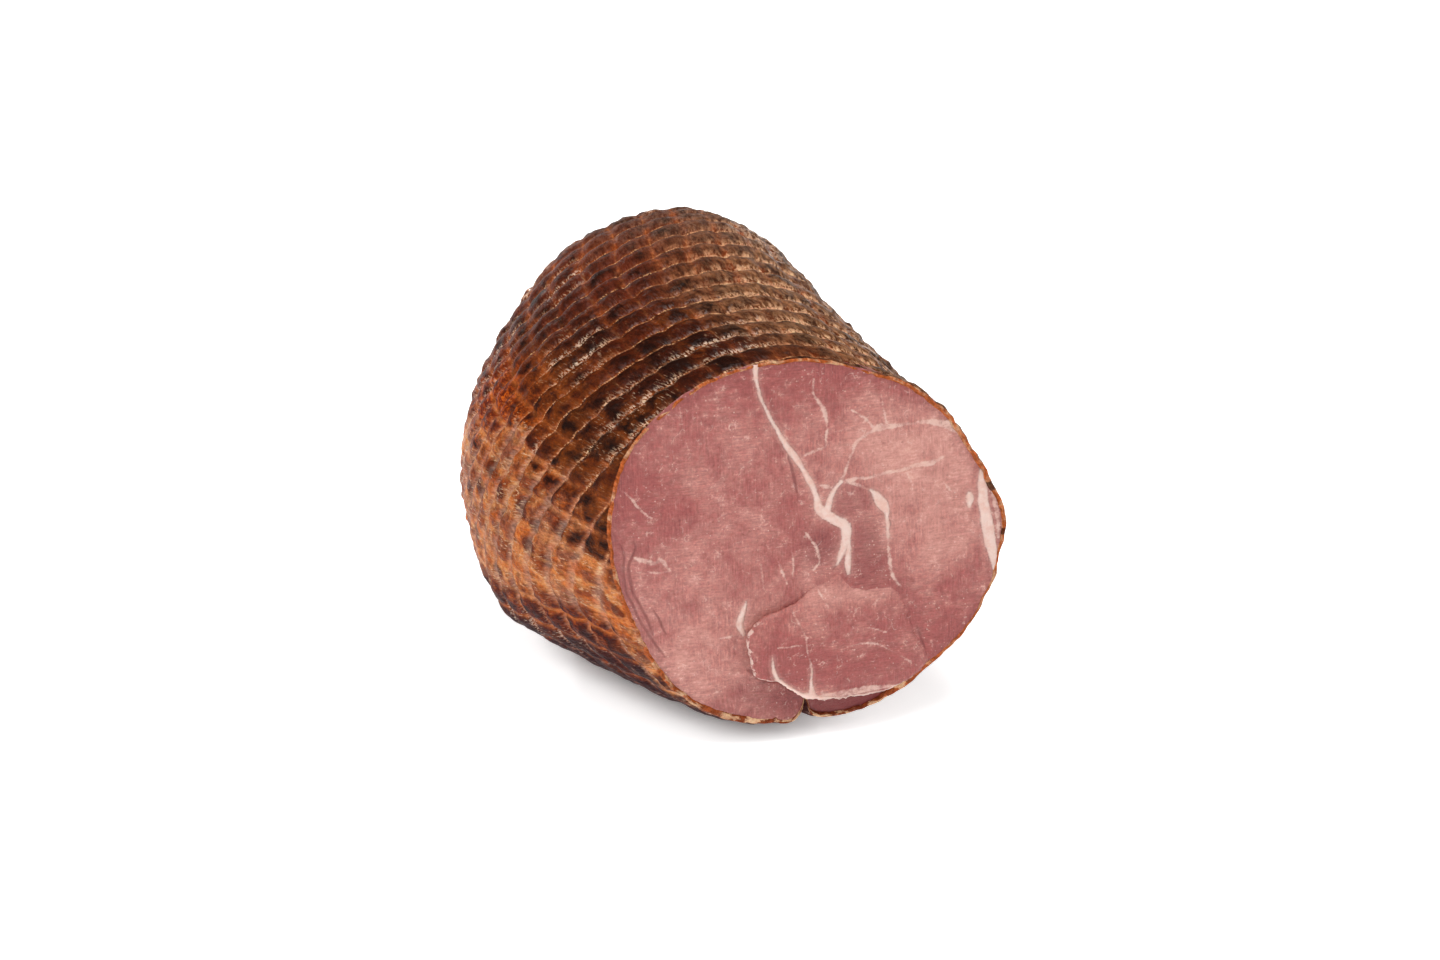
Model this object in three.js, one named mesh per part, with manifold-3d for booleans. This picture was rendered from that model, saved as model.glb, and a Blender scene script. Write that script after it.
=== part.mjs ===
// Smoked roast of boned reindeer, pressed round in an elastic net, with one end cut off.
//
// One solid of meat. Its rounded back end points along +Y and its cut face looks to -Y,
// turned a little to -X and tipped a little up. The net has been taken off: its rings and
// strands stay behind as grooves between puffed cells of crust. The roast lies on a flat
// spot of its underside. Millimetres, +Z up, origin under the middle of its box.

import * as THREE from 'three';
import { mergeVertices } from 'three/addons/utils/BufferGeometryUtils.js';
import Module from 'manifold-3d';

// Body: a round section swept along a slightly bent middle line.
const LENGTH = 138;                          // middle line, cut face to the tip of the back
const MIDDLE_X = [2.5, -7.9, -11.2, -1.8, 11];    // sideways bend of the middle line
const MIDDLE_Z = [73.9, 73.5, 69.9, 69.7, 69.3];  // height of the middle line
const RADIUS = [63.4, 69, 73.9, 75.4, 75.2];      // mean radius, back end not yet rounded
const BACK_ROUNDING = 6.1;                   // higher is a blunter back end
const FACE_YAW = -18.8;                      // degrees that the cut face turns to -X
const FACE_TILT = 10.1;                      // degrees that the cut face tips up
const BACK_YAW = 1.9;
const BACK_TILT = 2.3;
const FACE_REACH = 0.7;                      // share of the length over which the slant fades

// Section: how far it is from round. Each pair is [cosine, sine] of so many waves around.
const OVAL = [[-0.005, -0.03], [0.01, 0.025], [-0.033, 0.023]]; // cut face, middle, back
const THREE_SIDED = [[0.027, 0.004], [-0.014, -0.014]];         // cut face, back
const FOUR_SIDED = [-0.002, -0.013];                            // fades out towards the back

// Resting place: what would hang lower than this is pressed flat.
const FLOOR = 4;
const FLOOR_CALM = 7;                        // height over which the relief fades in again

// Net imprint.
const STRANDS = 37;                          // lengthwise strands around the roast
const STRAND_START = 74;                     // degrees, place of one strand at the cut face
const TWIST = 0.15;                          // degrees that a strand turns for each mm
const RING_PITCH = 10;                       // mm between rings at the sides
const RING_CROWDING = 2;                     // mm closer on top, wider below
const RING_DEPTH = 1.6;
const STRAND_DEPTH = 1;
const LUMP_HEIGHT = 0.9;                     // slow unevenness of the meat

// Mesh fineness: two columns for each strand, so that every second one lies in a groove.
const COLUMNS = 2 * STRANDS;
const ROWS = 52;
const RUN_STEPS = 400;
const TIP_SHARE = 0.9985;                    // share of the length where the rows stop
const RIM_ROUNDING = 1.4;                    // mm, the worn edge of the cut

// Cut face, in mm across (u) and up (v) in its own plane, from the middle line.
const FACE_STEPS = [0.94, 0.82, 0.66, 0.48, 0.3, 0.13];
const FACE_CROWN = 0.8;                      // mm that the meat stands out in the middle

// Flap: the small muscle at the bottom of the face, grown on above and to the right.
const FLAP_EDGE = [
  [4, -14], [-7, -21], [-16, -24.5], [-19.5, -30], [-18.5, -39], [-11, -46],
  [-1, -53], [9, -56.5], [21, -56], [30, -53], [38, -46.5], [38.5, -37], [34.5, -26],
  [31, -18.5], [21, -16.5], [11, -14.5],
];
const FLAP_POINTS = 44;
const FLAP_RISE = 4.6;                       // height of the free corner over the face
const FLAP_LOW = 1;                          // height of its edge where it is grown on
const FLAP_ROOT = 7;                         // depth that it reaches into the meat
const FLAP_UNDERCUT = 2.4;                   // how far the free edge hangs over its foot
const FLAP_FREE = [-19, -48];                // the free corner, where the rise is greatest
const FLAP_SPAN = 52;                        // distance over which the rise fades away

// Split in the rim under the flap.
const SPLIT_AT = [-0.5, -58];
const SPLIT_WIDTH = 3;
const SPLIT_LENGTH = 16;
const SPLIT_DEPTH = 11;
const SPLIT_LEAN = -12;                      // degrees

const degrees = THREE.MathUtils.degToRad;
const tau = 2 * Math.PI;

// A smooth value along the roast from a few named ones (a Bernstein polynomial).
function blend(values, t) {
  const order = values.length - 1;
  let sum = 0;
  let ways = 1;
  for (let i = 0; i <= order; i += 1) {
    sum += values[i] * ways * t ** i * (1 - t) ** (order - i);
    ways = (ways * (order - i)) / (i + 1);
  }
  return sum;
}

// The direction that a section looks in, from its yaw and its tilt.
function outlook(yaw, tilt) {
  const a = degrees(yaw);
  const b = degrees(tilt);
  return new THREE.Vector3(Math.sin(a) * Math.cos(b), -Math.cos(a) * Math.cos(b), Math.sin(b));
}

// The plane of the section at t: its normal, its sideways and its upward direction.
function sectionFrame(t) {
  const share = THREE.MathUtils.smoothstep(t, 0, FACE_REACH);
  const normal = outlook(FACE_YAW, FACE_TILT).lerp(outlook(BACK_YAW, BACK_TILT), share).normalize();
  const across = new THREE.Vector3(0, 0, 1).cross(normal).normalize();
  const up = normal.clone().cross(across);
  return { normal, across, up };
}

function middle(t) {
  return new THREE.Vector3(blend(MIDDLE_X, t), LENGTH * t, blend(MIDDLE_Z, t));
}

// Radius of the section at t, in the direction of the angle.
function sectionRadius(t, angle) {
  const taper = Math.sqrt(Math.max(0, 1 - t ** BACK_ROUNDING));
  let shape = 1;
  shape += blend(OVAL.map((pair) => pair[0]), t) * Math.cos(2 * angle);
  shape += blend(OVAL.map((pair) => pair[1]), t) * Math.sin(2 * angle);
  shape += blend(THREE_SIDED.map((pair) => pair[0]), t) * Math.cos(3 * angle);
  shape += blend(THREE_SIDED.map((pair) => pair[1]), t) * Math.sin(3 * angle);
  shape += FOUR_SIDED[0] * Math.cos(4 * angle) * (1 - t);
  shape += FOUR_SIDED[1] * Math.sin(4 * angle) * (1 - t);
  return blend(RADIUS, t) * taper * shape;
}

function bodyPoint(t, angle) {
  const { across, up } = sectionFrame(t);
  const radius = sectionRadius(t, angle);
  return middle(t)
    .addScaledVector(across, radius * Math.cos(angle))
    .addScaledVector(up, radius * Math.sin(angle));
}

// How far the skin has run from the rim of the cut, averaged around, at even steps of t.
function measureRun() {
  const probes = 24;
  const run = [0];
  for (let i = 1; i <= RUN_STEPS; i += 1) {
    let step = 0;
    for (let j = 0; j < probes; j += 1) {
      const angle = (tau * j) / probes;
      step += bodyPoint(i / RUN_STEPS, angle).distanceTo(bodyPoint((i - 1) / RUN_STEPS, angle));
    }
    run.push(run[i - 1] + step / probes);
  }
  return run;
}

// The place along the middle line where the skin has run so far.
function placeAtRun(run, target) {
  let i = 1;
  while (i < RUN_STEPS && run[i] < target) i += 1;
  const share = (target - run[i - 1]) / (run[i] - run[i - 1]);
  return (i - 1 + share) / RUN_STEPS;
}

// Depth of the imprint: rings crowd together on top, and run askew to the cut.
function imprint(run, angle) {
  const pitch = RING_PITCH - RING_CROWDING * Math.sin(angle);
  const askew = 3.2 * Math.cos(angle) - 1.3 * Math.sin(angle) - 2.1 * Math.sin(2 * angle);
  const ring = run / pitch + askew;
  const strand = ((angle + degrees(TWIST * run - STRAND_START)) * STRANDS) / tau;
  const ringGroove = 0.5 + 0.5 * Math.cos(tau * ring);
  const strandGroove = 0.5 + 0.5 * Math.cos(tau * strand);
  return -RING_DEPTH * ringGroove - STRAND_DEPTH * strandGroove;
}

function lump(run, angle) {
  const slow = Math.sin(2 * angle + run / 23 + 1) + 0.7 * Math.sin(5 * angle - run / 17);
  return (LUMP_HEIGHT * (slow + 0.6 * Math.sin(3 * angle + run / 11 + 2))) / 2.3;
}

// A point of the skin with its relief, which dies away at the rim, the tip and the floor.
function skinPoint(t, run, total, angle) {
  const point = bodyPoint(t, angle);
  const outward = point.clone().sub(middle(t)).normalize();
  const tip = THREE.MathUtils.smoothstep(total - run, 4, 30);
  const rim = THREE.MathUtils.smoothstep(run, 0, RIM_ROUNDING * 3);
  const calm = THREE.MathUtils.smoothstep(point.z, FLOOR, FLOOR + FLOOR_CALM);
  const relief = (imprint(run, angle) + lump(run, angle)) * tip * calm;
  const worn = -RIM_ROUNDING * (1 - rim) * 0.5;
  point.addScaledVector(outward, relief * (0.4 + 0.6 * rim) + worn);
  point.z = Math.max(point.z, FLOOR);
  return point;
}

function columnAngle(column, run) {
  return (tau * column) / COLUMNS + degrees(STRAND_START - TWIST * run);
}

// Joins rings of points, all of one length, into a closed skin with a point at each end.
function closedSkin(firstTip, rings, lastTip) {
  const count = rings[0].length;
  const points = [firstTip, ...rings.flat(), lastTip];
  const last = points.length - 1;
  const at = (row, column) => 1 + row * count + (column % count);
  const index = [];
  for (let j = 0; j < count; j += 1) {
    index.push(0, at(0, j), at(0, j + 1));
    for (let i = 0; i + 1 < rings.length; i += 1) {
      index.push(at(i, j), at(i + 1, j), at(i, j + 1));
      index.push(at(i + 1, j), at(i + 1, j + 1), at(i, j + 1));
    }
    index.push(at(rings.length - 1, j), last, at(rings.length - 1, j + 1));
  }
  const geometry = new THREE.BufferGeometry();
  geometry.setAttribute('position', new THREE.Float32BufferAttribute(
    points.flatMap((point) => point.toArray()), 3));
  geometry.setIndex(index);
  return geometry;
}

// Body of the roast: the cut face from its middle to the rim, then the skin to the back.
function bodyGeometry() {
  const run = measureRun();
  const total = run[Math.round(TIP_SHARE * RUN_STEPS)];
  const face = sectionFrame(0);
  const rim = [];
  for (let j = 0; j < COLUMNS; j += 1) {
    rim.push(skinPoint(0, 0, total, columnAngle(j, 0)));
  }
  const centre = middle(0);
  const rings = [];
  for (const share of FACE_STEPS.slice().reverse()) {
    const crown = FACE_CROWN * (1 - share * share);
    rings.push(rim.map((point) => centre.clone().lerp(point, share)
      .addScaledVector(face.normal, crown)));
  }
  rings.push(rim);
  for (let i = 1; i <= ROWS; i += 1) {
    const even = (total * i) / ROWS;
    const along = i === 1 ? RIM_ROUNDING : even;
    const t = placeAtRun(run, along);
    const ring = [];
    for (let j = 0; j < COLUMNS; j += 1) {
      ring.push(skinPoint(t, along, total, columnAngle(j, along)));
    }
    rings.push(ring);
  }
  const firstTip = centre.clone().addScaledVector(face.normal, FACE_CROWN);
  return closedSkin(firstTip, rings, middle(1));
}

// A point over the cut face: u across, v up, w out of it.
function facePoint(u, v, w) {
  const { normal, across, up } = sectionFrame(0);
  return middle(0).addScaledVector(across, u).addScaledVector(up, v).addScaledVector(normal, w);
}

function flapRise(u, v) {
  const far = Math.hypot(u - FLAP_FREE[0], v - FLAP_FREE[1]) / FLAP_SPAN;
  return FLAP_LOW + (FLAP_RISE - FLAP_LOW) * (1 - THREE.MathUtils.smoothstep(far, 0.2, 1));
}

// The flap: one outline at four heights, narrower at its foot so that its edge hangs over.
function flapGeometry() {
  const corners = FLAP_EDGE.map(([u, v]) => new THREE.Vector3(u, v, 0));
  const outline = new THREE.CatmullRomCurve3(corners, true).getSpacedPoints(FLAP_POINTS).slice(1);
  const centre = new THREE.Vector3();
  outline.forEach((point) => centre.addScaledVector(point, 1 / FLAP_POINTS));
  const level = (inset, height) => outline.map((point) => {
    const inward = centre.clone().sub(point).setLength(inset);
    const u = point.x + inward.x;
    const v = point.y + inward.y;
    return facePoint(u, v, height(u, v));
  });
  const rings = [
    level(1.2, flapRise),
    level(0, (u, v) => flapRise(u, v) - 1),
    level(0.5, (u, v) => 0.45 * flapRise(u, v)),
    level(FLAP_UNDERCUT, () => -0.4),
    level(FLAP_UNDERCUT, () => -FLAP_ROOT),
  ];
  const inner = level(12, (u, v) => flapRise(u, v) + 0.7);
  const top = facePoint(centre.x, centre.y, flapRise(centre.x, centre.y) + 0.9);
  return closedSkin(top, [inner, ...rings], facePoint(centre.x, centre.y, -FLAP_ROOT));
}

// A wedge that opens the rim below the flap and closes towards the inside.
function splitGeometry() {
  const wedge = new THREE.Shape([
    new THREE.Vector2(-SPLIT_WIDTH / 2, -SPLIT_LENGTH / 2),
    new THREE.Vector2(SPLIT_WIDTH / 2, -SPLIT_LENGTH / 2),
    new THREE.Vector2(SPLIT_WIDTH / 4, SPLIT_LENGTH / 2),
    new THREE.Vector2(-SPLIT_WIDTH / 4, SPLIT_LENGTH / 2),
  ]);
  const { normal, across, up } = sectionFrame(0);
  const geometry = new THREE.ExtrudeGeometry(wedge, { depth: 2 * SPLIT_DEPTH, bevelEnabled: false });
  geometry.rotateZ(degrees(SPLIT_LEAN));
  geometry.translate(SPLIT_AT[0], SPLIT_AT[1], -SPLIT_DEPTH);
  geometry.applyMatrix4(new THREE.Matrix4().makeBasis(across, up, normal));
  geometry.translate(...middle(0).toArray());
  return geometry;
}

const wasm = await Module();
wasm.setup();

function solidOf(geometry) {
  const bare = geometry.clone();
  bare.deleteAttribute('normal');
  bare.deleteAttribute('uv');
  const merged = mergeVertices(bare, 1e-4);
  return new wasm.Manifold(new wasm.Mesh({
    numProp: 3,
    vertProperties: new Float32Array(merged.attributes.position.array),
    triVerts: new Uint32Array(merged.index.array),
  }));
}

function geometryOf(solid) {
  const mesh = solid.getMesh();
  const geometry = new THREE.BufferGeometry();
  geometry.setAttribute('position', new THREE.BufferAttribute(mesh.vertProperties, 3));
  geometry.setIndex(new THREE.BufferAttribute(mesh.triVerts, 1));
  return geometry;
}

function roastGeometry() {
  const body = solidOf(bodyGeometry()).subtract(solidOf(splitGeometry()));
  const geometry = geometryOf(body.add(solidOf(flapGeometry())));
  geometry.computeBoundingBox();
  const box = geometry.boundingBox;
  const centre = box.getCenter(new THREE.Vector3());
  geometry.translate(-centre.x, -centre.y, -box.min.z);
  geometry.computeVertexNormals();
  return geometry;
}

const crust = new THREE.MeshStandardMaterial({ color: 0x5d3019, roughness: 0.45, metalness: 0 });
const roast = new THREE.Mesh(roastGeometry(), crust);
roast.name = 'roast';

const group = new THREE.Group();
group.add(roast);

export default group;
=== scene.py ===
"""Looks of the smoked reindeer roast: crust, cut face and the small muscle on the face.

Named sizes are in millimetres and named angles in degrees, as in the part's source. Meshes
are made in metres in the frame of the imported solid, which the dressed pieces replace.
"""

import logging
import math
from dataclasses import dataclass, field
from enum import Enum

import bpy
import numpy as np
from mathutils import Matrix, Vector


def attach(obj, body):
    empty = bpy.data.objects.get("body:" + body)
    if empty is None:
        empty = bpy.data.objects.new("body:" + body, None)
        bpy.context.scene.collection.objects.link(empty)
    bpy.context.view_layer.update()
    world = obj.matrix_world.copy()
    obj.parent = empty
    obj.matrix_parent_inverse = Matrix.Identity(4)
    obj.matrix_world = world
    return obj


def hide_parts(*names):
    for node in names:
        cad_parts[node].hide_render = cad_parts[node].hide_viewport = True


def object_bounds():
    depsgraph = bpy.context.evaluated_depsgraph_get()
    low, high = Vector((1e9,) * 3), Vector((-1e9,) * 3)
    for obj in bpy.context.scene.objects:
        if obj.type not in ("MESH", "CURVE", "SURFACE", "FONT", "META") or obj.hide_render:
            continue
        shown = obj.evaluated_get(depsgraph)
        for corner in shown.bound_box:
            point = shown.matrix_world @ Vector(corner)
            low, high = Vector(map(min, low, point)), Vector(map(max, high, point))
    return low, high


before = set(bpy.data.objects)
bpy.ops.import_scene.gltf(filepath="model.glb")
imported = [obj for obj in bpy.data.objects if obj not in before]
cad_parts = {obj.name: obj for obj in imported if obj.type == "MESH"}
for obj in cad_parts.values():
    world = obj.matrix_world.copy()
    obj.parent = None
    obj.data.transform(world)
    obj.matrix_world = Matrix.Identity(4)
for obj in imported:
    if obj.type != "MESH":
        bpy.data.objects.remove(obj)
CAD_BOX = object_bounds()

LOG = logging.getLogger("roast")
MM = 0.001
TAU = 2 * math.pi
NODE = "roast"
BODY = "root"
# These scramble whole numbers into random ones.
HASH_STEPS = (374761393, 668265263, 1440662683, 69069)
HASH_MIX = 1274126177
LOW_32 = 0xFFFFFFFF
LOW_16 = 0xFFFF
# The depth in mm inside a seam that counts as far outside of it.
OUTSIDE = -9.0

Array = np.ndarray
Number = float | Array
Values = dict[str, Array]
Rows = tuple[tuple[float, ...], ...]
Colour = tuple[float, ...]
Sizes = float | tuple[float, float, float]


# ---------------------------------------------------------------- plain maths

def smoothstep(low: float, high: float, value: Number) -> Array:
    """The share, 0 to 1, that rises smoothly while a value goes from low to high."""
    share = np.clip((value - low) / (high - low), 0.0, 1.0)
    return share * share * (3.0 - 2.0 * share)


def bell(value: Number, width: float) -> Array:
    """A bell curve, 1 at 0, that has fallen to about a third at its width."""
    return np.exp(-((value / width) ** 2))


def blend(values: tuple[float, ...], share: Array) -> Array:
    """A smooth value along the roast from a few named ones (a Bernstein polynomial)."""
    order = len(values) - 1
    return sum(math.comb(order, i) * share**i * (1 - share) ** (order - i) * value
               for i, value in enumerate(values))


def outlook(yaw: float, tilt: float) -> Array:
    """The unit vector that is turned from -Y towards +X by yaw and tipped up by tilt."""
    a, b = math.radians(yaw), math.radians(tilt)
    return np.array([math.sin(a) * math.cos(b), -math.cos(a) * math.cos(b), math.sin(b)])


def around(turn: Number, middle: float) -> Array:
    """Turn away from a direction the short way round, from -180 to 180 degrees."""
    return (turn - middle + 180) % 360 - 180


def unit(vectors: Array) -> Array:
    """Vectors scaled to length 1."""
    return vectors / np.linalg.norm(vectors, axis=-1, keepdims=True)


def flat(u: Array, v: Array) -> Array:
    """Points of a plane, to read noise at."""
    return np.stack([u, v, np.zeros_like(u)], axis=-1)


def hoop(angle: Array, radius: float) -> Array:
    """Points of a circle, to read noise around a rim."""
    return flat(radius * np.cos(angle), radius * np.sin(angle))


def curve(points: Rows, steps: int) -> Array:
    """A smooth curve through points (Catmull-Rom).

    Args:
        points: The points.
        steps: Pieces between two points.

    Returns:
        Points of the curve, from the first point to the last.
    """
    given = np.array(points)
    if len(given) < 3:
        return given
    ends = np.concatenate([given[:1], given, given[-1:]])
    made = []
    for before, start, end, after in zip(ends, ends[1:], ends[2:], ends[3:]):
        for i in range(steps):
            s = i / steps
            place = 2 * start + (end - before) * s
            place = place + (2 * before - 5 * start + 4 * end - after) * s**2
            made.append((place + (3 * start - before - 3 * end + after) * s**3) / 2)
    return np.array([*made, given[-1]])


@dataclass(frozen=True)
class Grain:
    """Seeded smooth noise in space, for relief that is modelled."""

    seed: int

    def corner(self, x: Array, y: Array, z: Array) -> Array:
        """A repeatable random value at whole-numbered places.

        Args:
            x: First whole numbers.
            y: Second whole numbers.
            z: Third whole numbers.

        Returns:
            Values from -1 to 1.
        """
        key = sum(part * step for part, step in zip((x, y, z, self.seed), HASH_STEPS)) & LOW_32
        key = ((key ^ (key >> 13)) * HASH_MIX) & LOW_32
        key = key ^ (key >> 16)
        return (key & LOW_16) / (LOW_16 / 2) - 1.0

    def at(self, points: Array, size: float) -> Array:
        """Smooth noise.

        Args:
            points: Places in mm, one in each row.
            size: Distance between its highs and lows, in mm.

        Returns:
            Values from -1 to 1.
        """
        scaled = points / size
        base = np.floor(scaled).astype(np.int64)
        part = scaled - base
        part = part * part * (3 - 2 * part)
        total = np.zeros(points.shape[:-1])
        for corner in range(8):
            step = np.array([corner & 1, (corner >> 1) & 1, (corner >> 2) & 1])
            weight = np.prod(np.where(step == 1, part, 1 - part), axis=-1)
            total += weight * self.corner(*np.moveaxis(base + step, -1, 0))
        return total

    def rough(self, points: Array, size: float, layers: int = 3) -> Array:
        """Noise from about -1 to 1 with layers, each half as large and strong as the last."""
        parts = (Grain(self.seed + i).at(points, size / 2**i) / 2**i for i in range(layers))
        return sum(parts) / (2 - 2 ** (1 - layers))


# ---------------------------------------------------------------- form

@dataclass(frozen=True)
class RoastForm:
    """The plain form of the roast: a round section swept along a bent middle line."""

    length: float = 138.0
    middle_x: tuple[float, ...] = (2.5, -7.9, -11.2, -1.8, 11.0)
    middle_z: tuple[float, ...] = (73.9, 73.5, 69.9, 69.7, 69.3)
    radius: tuple[float, ...] = (63.4, 69.0, 73.9, 75.4, 75.2)
    back_rounding: float = 6.1
    face_yaw: float = -18.8
    face_tilt: float = 10.1
    back_yaw: float = 1.9
    back_tilt: float = 2.3
    face_reach: float = 0.7
    oval: Rows = ((-0.005, 0.010, -0.033), (-0.030, 0.025, 0.023))
    three: Rows = ((0.027, -0.014), (0.004, -0.014))
    four: tuple[float, float] = (-0.002, -0.013)
    floor: float = 4.0
    floor_calm: float = 7.0
    origin: tuple[float, float, float] = (4.34, -57.41, -4.0)

    def frames(self, share: Array) -> tuple[Array, Array, Array]:
        """The planes of the sections.

        Args:
            share: Places along the middle line, 0 to 1.

        Returns:
            Their normals, sideways and upward directions.
        """
        fade = smoothstep(0, self.face_reach, share)[..., None]
        front = outlook(self.face_yaw, self.face_tilt)
        back = outlook(self.back_yaw, self.back_tilt)
        normal = unit(front * (1 - fade) + back * fade)
        across = unit(np.cross(np.array([0.0, 0.0, 1.0]), normal))
        return normal, across, np.cross(normal, across)

    def middle(self, share: Array) -> Array:
        """Points of the middle line, before they are moved to the frame's origin."""
        x, z = blend(self.middle_x, share), blend(self.middle_z, share)
        return np.stack([x, self.length * share, z], axis=-1)

    def section_radius(self, share: Array, angle: Array) -> Array:
        """Radius of the sections.

        Args:
            share: Places along the middle line.
            angle: Directions in the section, in radians.

        Returns:
            The radius at each place and direction.
        """
        taper = np.sqrt(np.maximum(0.0, 1 - share**self.back_rounding))
        shape = 1
        for count, (cosine, sine) in ((2, self.oval), (3, self.three)):
            shape = shape + blend(cosine, share) * np.cos(count * angle)
            shape = shape + blend(sine, share) * np.sin(count * angle)
        square = self.four[0] * np.cos(4 * angle) + self.four[1] * np.sin(4 * angle)
        return blend(self.radius, share) * taper * (shape + square * (1 - share))

    def skin(self, share: Array, angle: Array) -> Array:
        """Points of the smooth skin.

        Args:
            share: Places along the middle line.
            angle: Directions in the section, in radians.

        Returns:
            The points.
        """
        _, across, up = self.frames(share)
        radius = self.section_radius(share, angle)[..., None]
        spoke = across * np.cos(angle)[..., None] + up * np.sin(angle)[..., None]
        return self.middle(share) + spoke * radius

    def run_table(self, steps: int = 400, probes: int = 24) -> tuple[Array, Array]:
        """How far the skin has run from the rim of the cut, averaged around.

        Args:
            steps: Even steps along the middle line.
            probes: Directions that are averaged.

        Returns:
            The places along the middle line and the run at each, in mm.
        """
        share = np.linspace(0, 1, steps + 1)
        angle = np.arange(probes) * TAU / probes
        points = self.skin(*np.meshgrid(share, angle, indexing="ij"))
        step = np.linalg.norm(np.diff(points, axis=0), axis=-1).mean(axis=1)
        return share, np.concatenate([[0.0], np.cumsum(step)])

    def on_face(self, u: Array, v: Array, w: Number) -> Array:
        """Points over the plane of the cut.

        Args:
            u: Places across the face, from its middle.
            v: Places up the face.
            w: Height out of it.

        Returns:
            The points.
        """
        normal, across, up = self.frames(np.array(0.0))
        height = np.broadcast_to(w, u.shape)[..., None]
        plane = across * u[..., None] + up * v[..., None]
        return self.middle(np.array(0.0)) + plane + normal * height

    def settle(self, points: Array) -> Array:
        """Presses the underside flat, so that no point is lower than what it lies on."""
        points[..., 2] = np.maximum(points[..., 2], self.floor)
        return points

    def to_frame(self, points: Array) -> Array:
        """Moves points in mm to the frame's origin and turns them into metres."""
        return (points + np.array(self.origin)) * MM


@dataclass(frozen=True)
class NetImprint:
    """Grooves that the net left: rings around the roast and strands along it."""

    strands: int = 37
    strand_start: float = 74.0
    mean_radius: float = 66.0
    twist: float = 0.15
    ring_pitch: float = 10.0
    ring_crowding: float = 2.0
    askew: tuple[float, float, float] = (3.2, -1.3, -2.1)
    ring_wander: float = 0.17
    ring_ripple: float = 0.035
    scallop: float = 0.012
    strand_wander: float = 0.24
    ring_depth: float = 0.85
    ring_half: float = 1.1
    strand_depth: float = 0.4
    strand_half: float = 1.7
    pillow: float = 0.68
    pillow_to_ring: float = 3.4
    pillow_to_strand: float = 4.6

    def read(self, run: Array, angle: Array, points: Array) -> Values:
        """Where the lines of the net lie.

        Args:
            run: How far each point is from the rim, in mm.
            angle: Direction of each point in its section, in radians.
            points: The points, in mm.

        Returns:
            ring_gap and strand_gap, the distance to the nearest line in mm, the sines and
            cosines of both counts of lines, and tone, a random value for each cell.
        """
        pitch = self.ring_pitch - self.ring_crowding * np.sin(angle)
        skew = self.askew[0] * np.cos(angle) + self.askew[1] * np.sin(angle)
        skew = skew + self.askew[2] * np.sin(2 * angle)
        turned = angle + np.radians(self.twist * run - self.strand_start)
        strand = turned * self.strands / TAU
        strand = strand + self.strand_wander * Grain(23).rough(points, 15.0)
        ring = run / pitch + skew + self.ring_wander * Grain(11).rough(points, 19.0)
        ring = ring + self.scallop * np.cos(TAU * strand)
        ring = ring + self.ring_ripple * Grain(24).rough(points, 6.0, 2)
        found = {}
        for name, count, size in (("ring", ring, pitch),
                                  ("strand", strand, self.mean_radius * TAU / self.strands)):
            found[f"{name}_gap"] = np.abs(count - np.round(count)) * size
            found[f"{name}_sin"] = np.sin(TAU * count)
            found[f"{name}_cos"] = np.cos(TAU * count)
        cell_ring = np.floor(ring).astype(np.int64)
        cell_strand = np.floor(strand).astype(np.int64) % self.strands
        found["tone"] = 0.5 + 0.5 * Grain(5).corner(cell_ring, cell_strand, cell_ring * 0)
        return found

    def relief(self, net: Values) -> Array:
        """Height of the skin between the lines of the net.

        Args:
            net: What read() gives.

        Returns:
            The height in mm, 0 on top of a flat cell and less in the grooves.
        """
        ring, strand = net["ring_gap"], net["strand_gap"]
        puffed = 1 - bell(ring, self.pillow_to_ring)
        puffed = puffed * (1 - 0.6 * bell(strand, self.pillow_to_strand))
        height = self.pillow * (puffed * (0.6 + 0.8 * net["tone"]) - 0.6)
        height = height - self.ring_depth * bell(ring, self.ring_half)
        return height - self.strand_depth * bell(strand, self.strand_half)


class Zone(Enum):
    """Parts of the crust that smoked differently; two of them also place painted light: glints,
    and a sheen along the silhouettes.
    """

    FAT = "fat"
    DARK = "dark"
    GOLD = "gold"
    EMBER = "ember"
    OLIVE = "olive"
    PURPLE = "purple"
    GREY = "grey"
    RED = "red"
    # Glossy crust, where glints are painted into the colour.
    WET_AND_GLINTS = "wet_and_glints"
    CHAR = "char"
    SPOT = "spot"
    # Pale dry granules along the silhouettes, with a painted sheen.
    FROST_AND_SHEEN = "frost_and_sheen"


@dataclass(frozen=True)
class Patch:
    """A soft-edged patch of the skin: its middle, its reach and how soft its edge is."""

    run: float
    angle: float
    run_reach: float
    angle_reach: float
    softness: float = 0.6

    def far(self, run: Array, angle: Array) -> Array:
        """How far points are from the middle, 1 where the patch ends."""
        turn = around(np.degrees(angle), self.angle)
        return np.hypot((run - self.run) / self.run_reach, turn / self.angle_reach)

    def cover(self, run: Array, angle: Array, ragged: Array) -> Array:
        """How much of the skin the patch covers, 0 to 1, where noise frays its edge."""
        far = self.far(run, angle) + 0.25 * ragged
        return smoothstep(1 + self.softness, 1 - self.softness, far)


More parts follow.
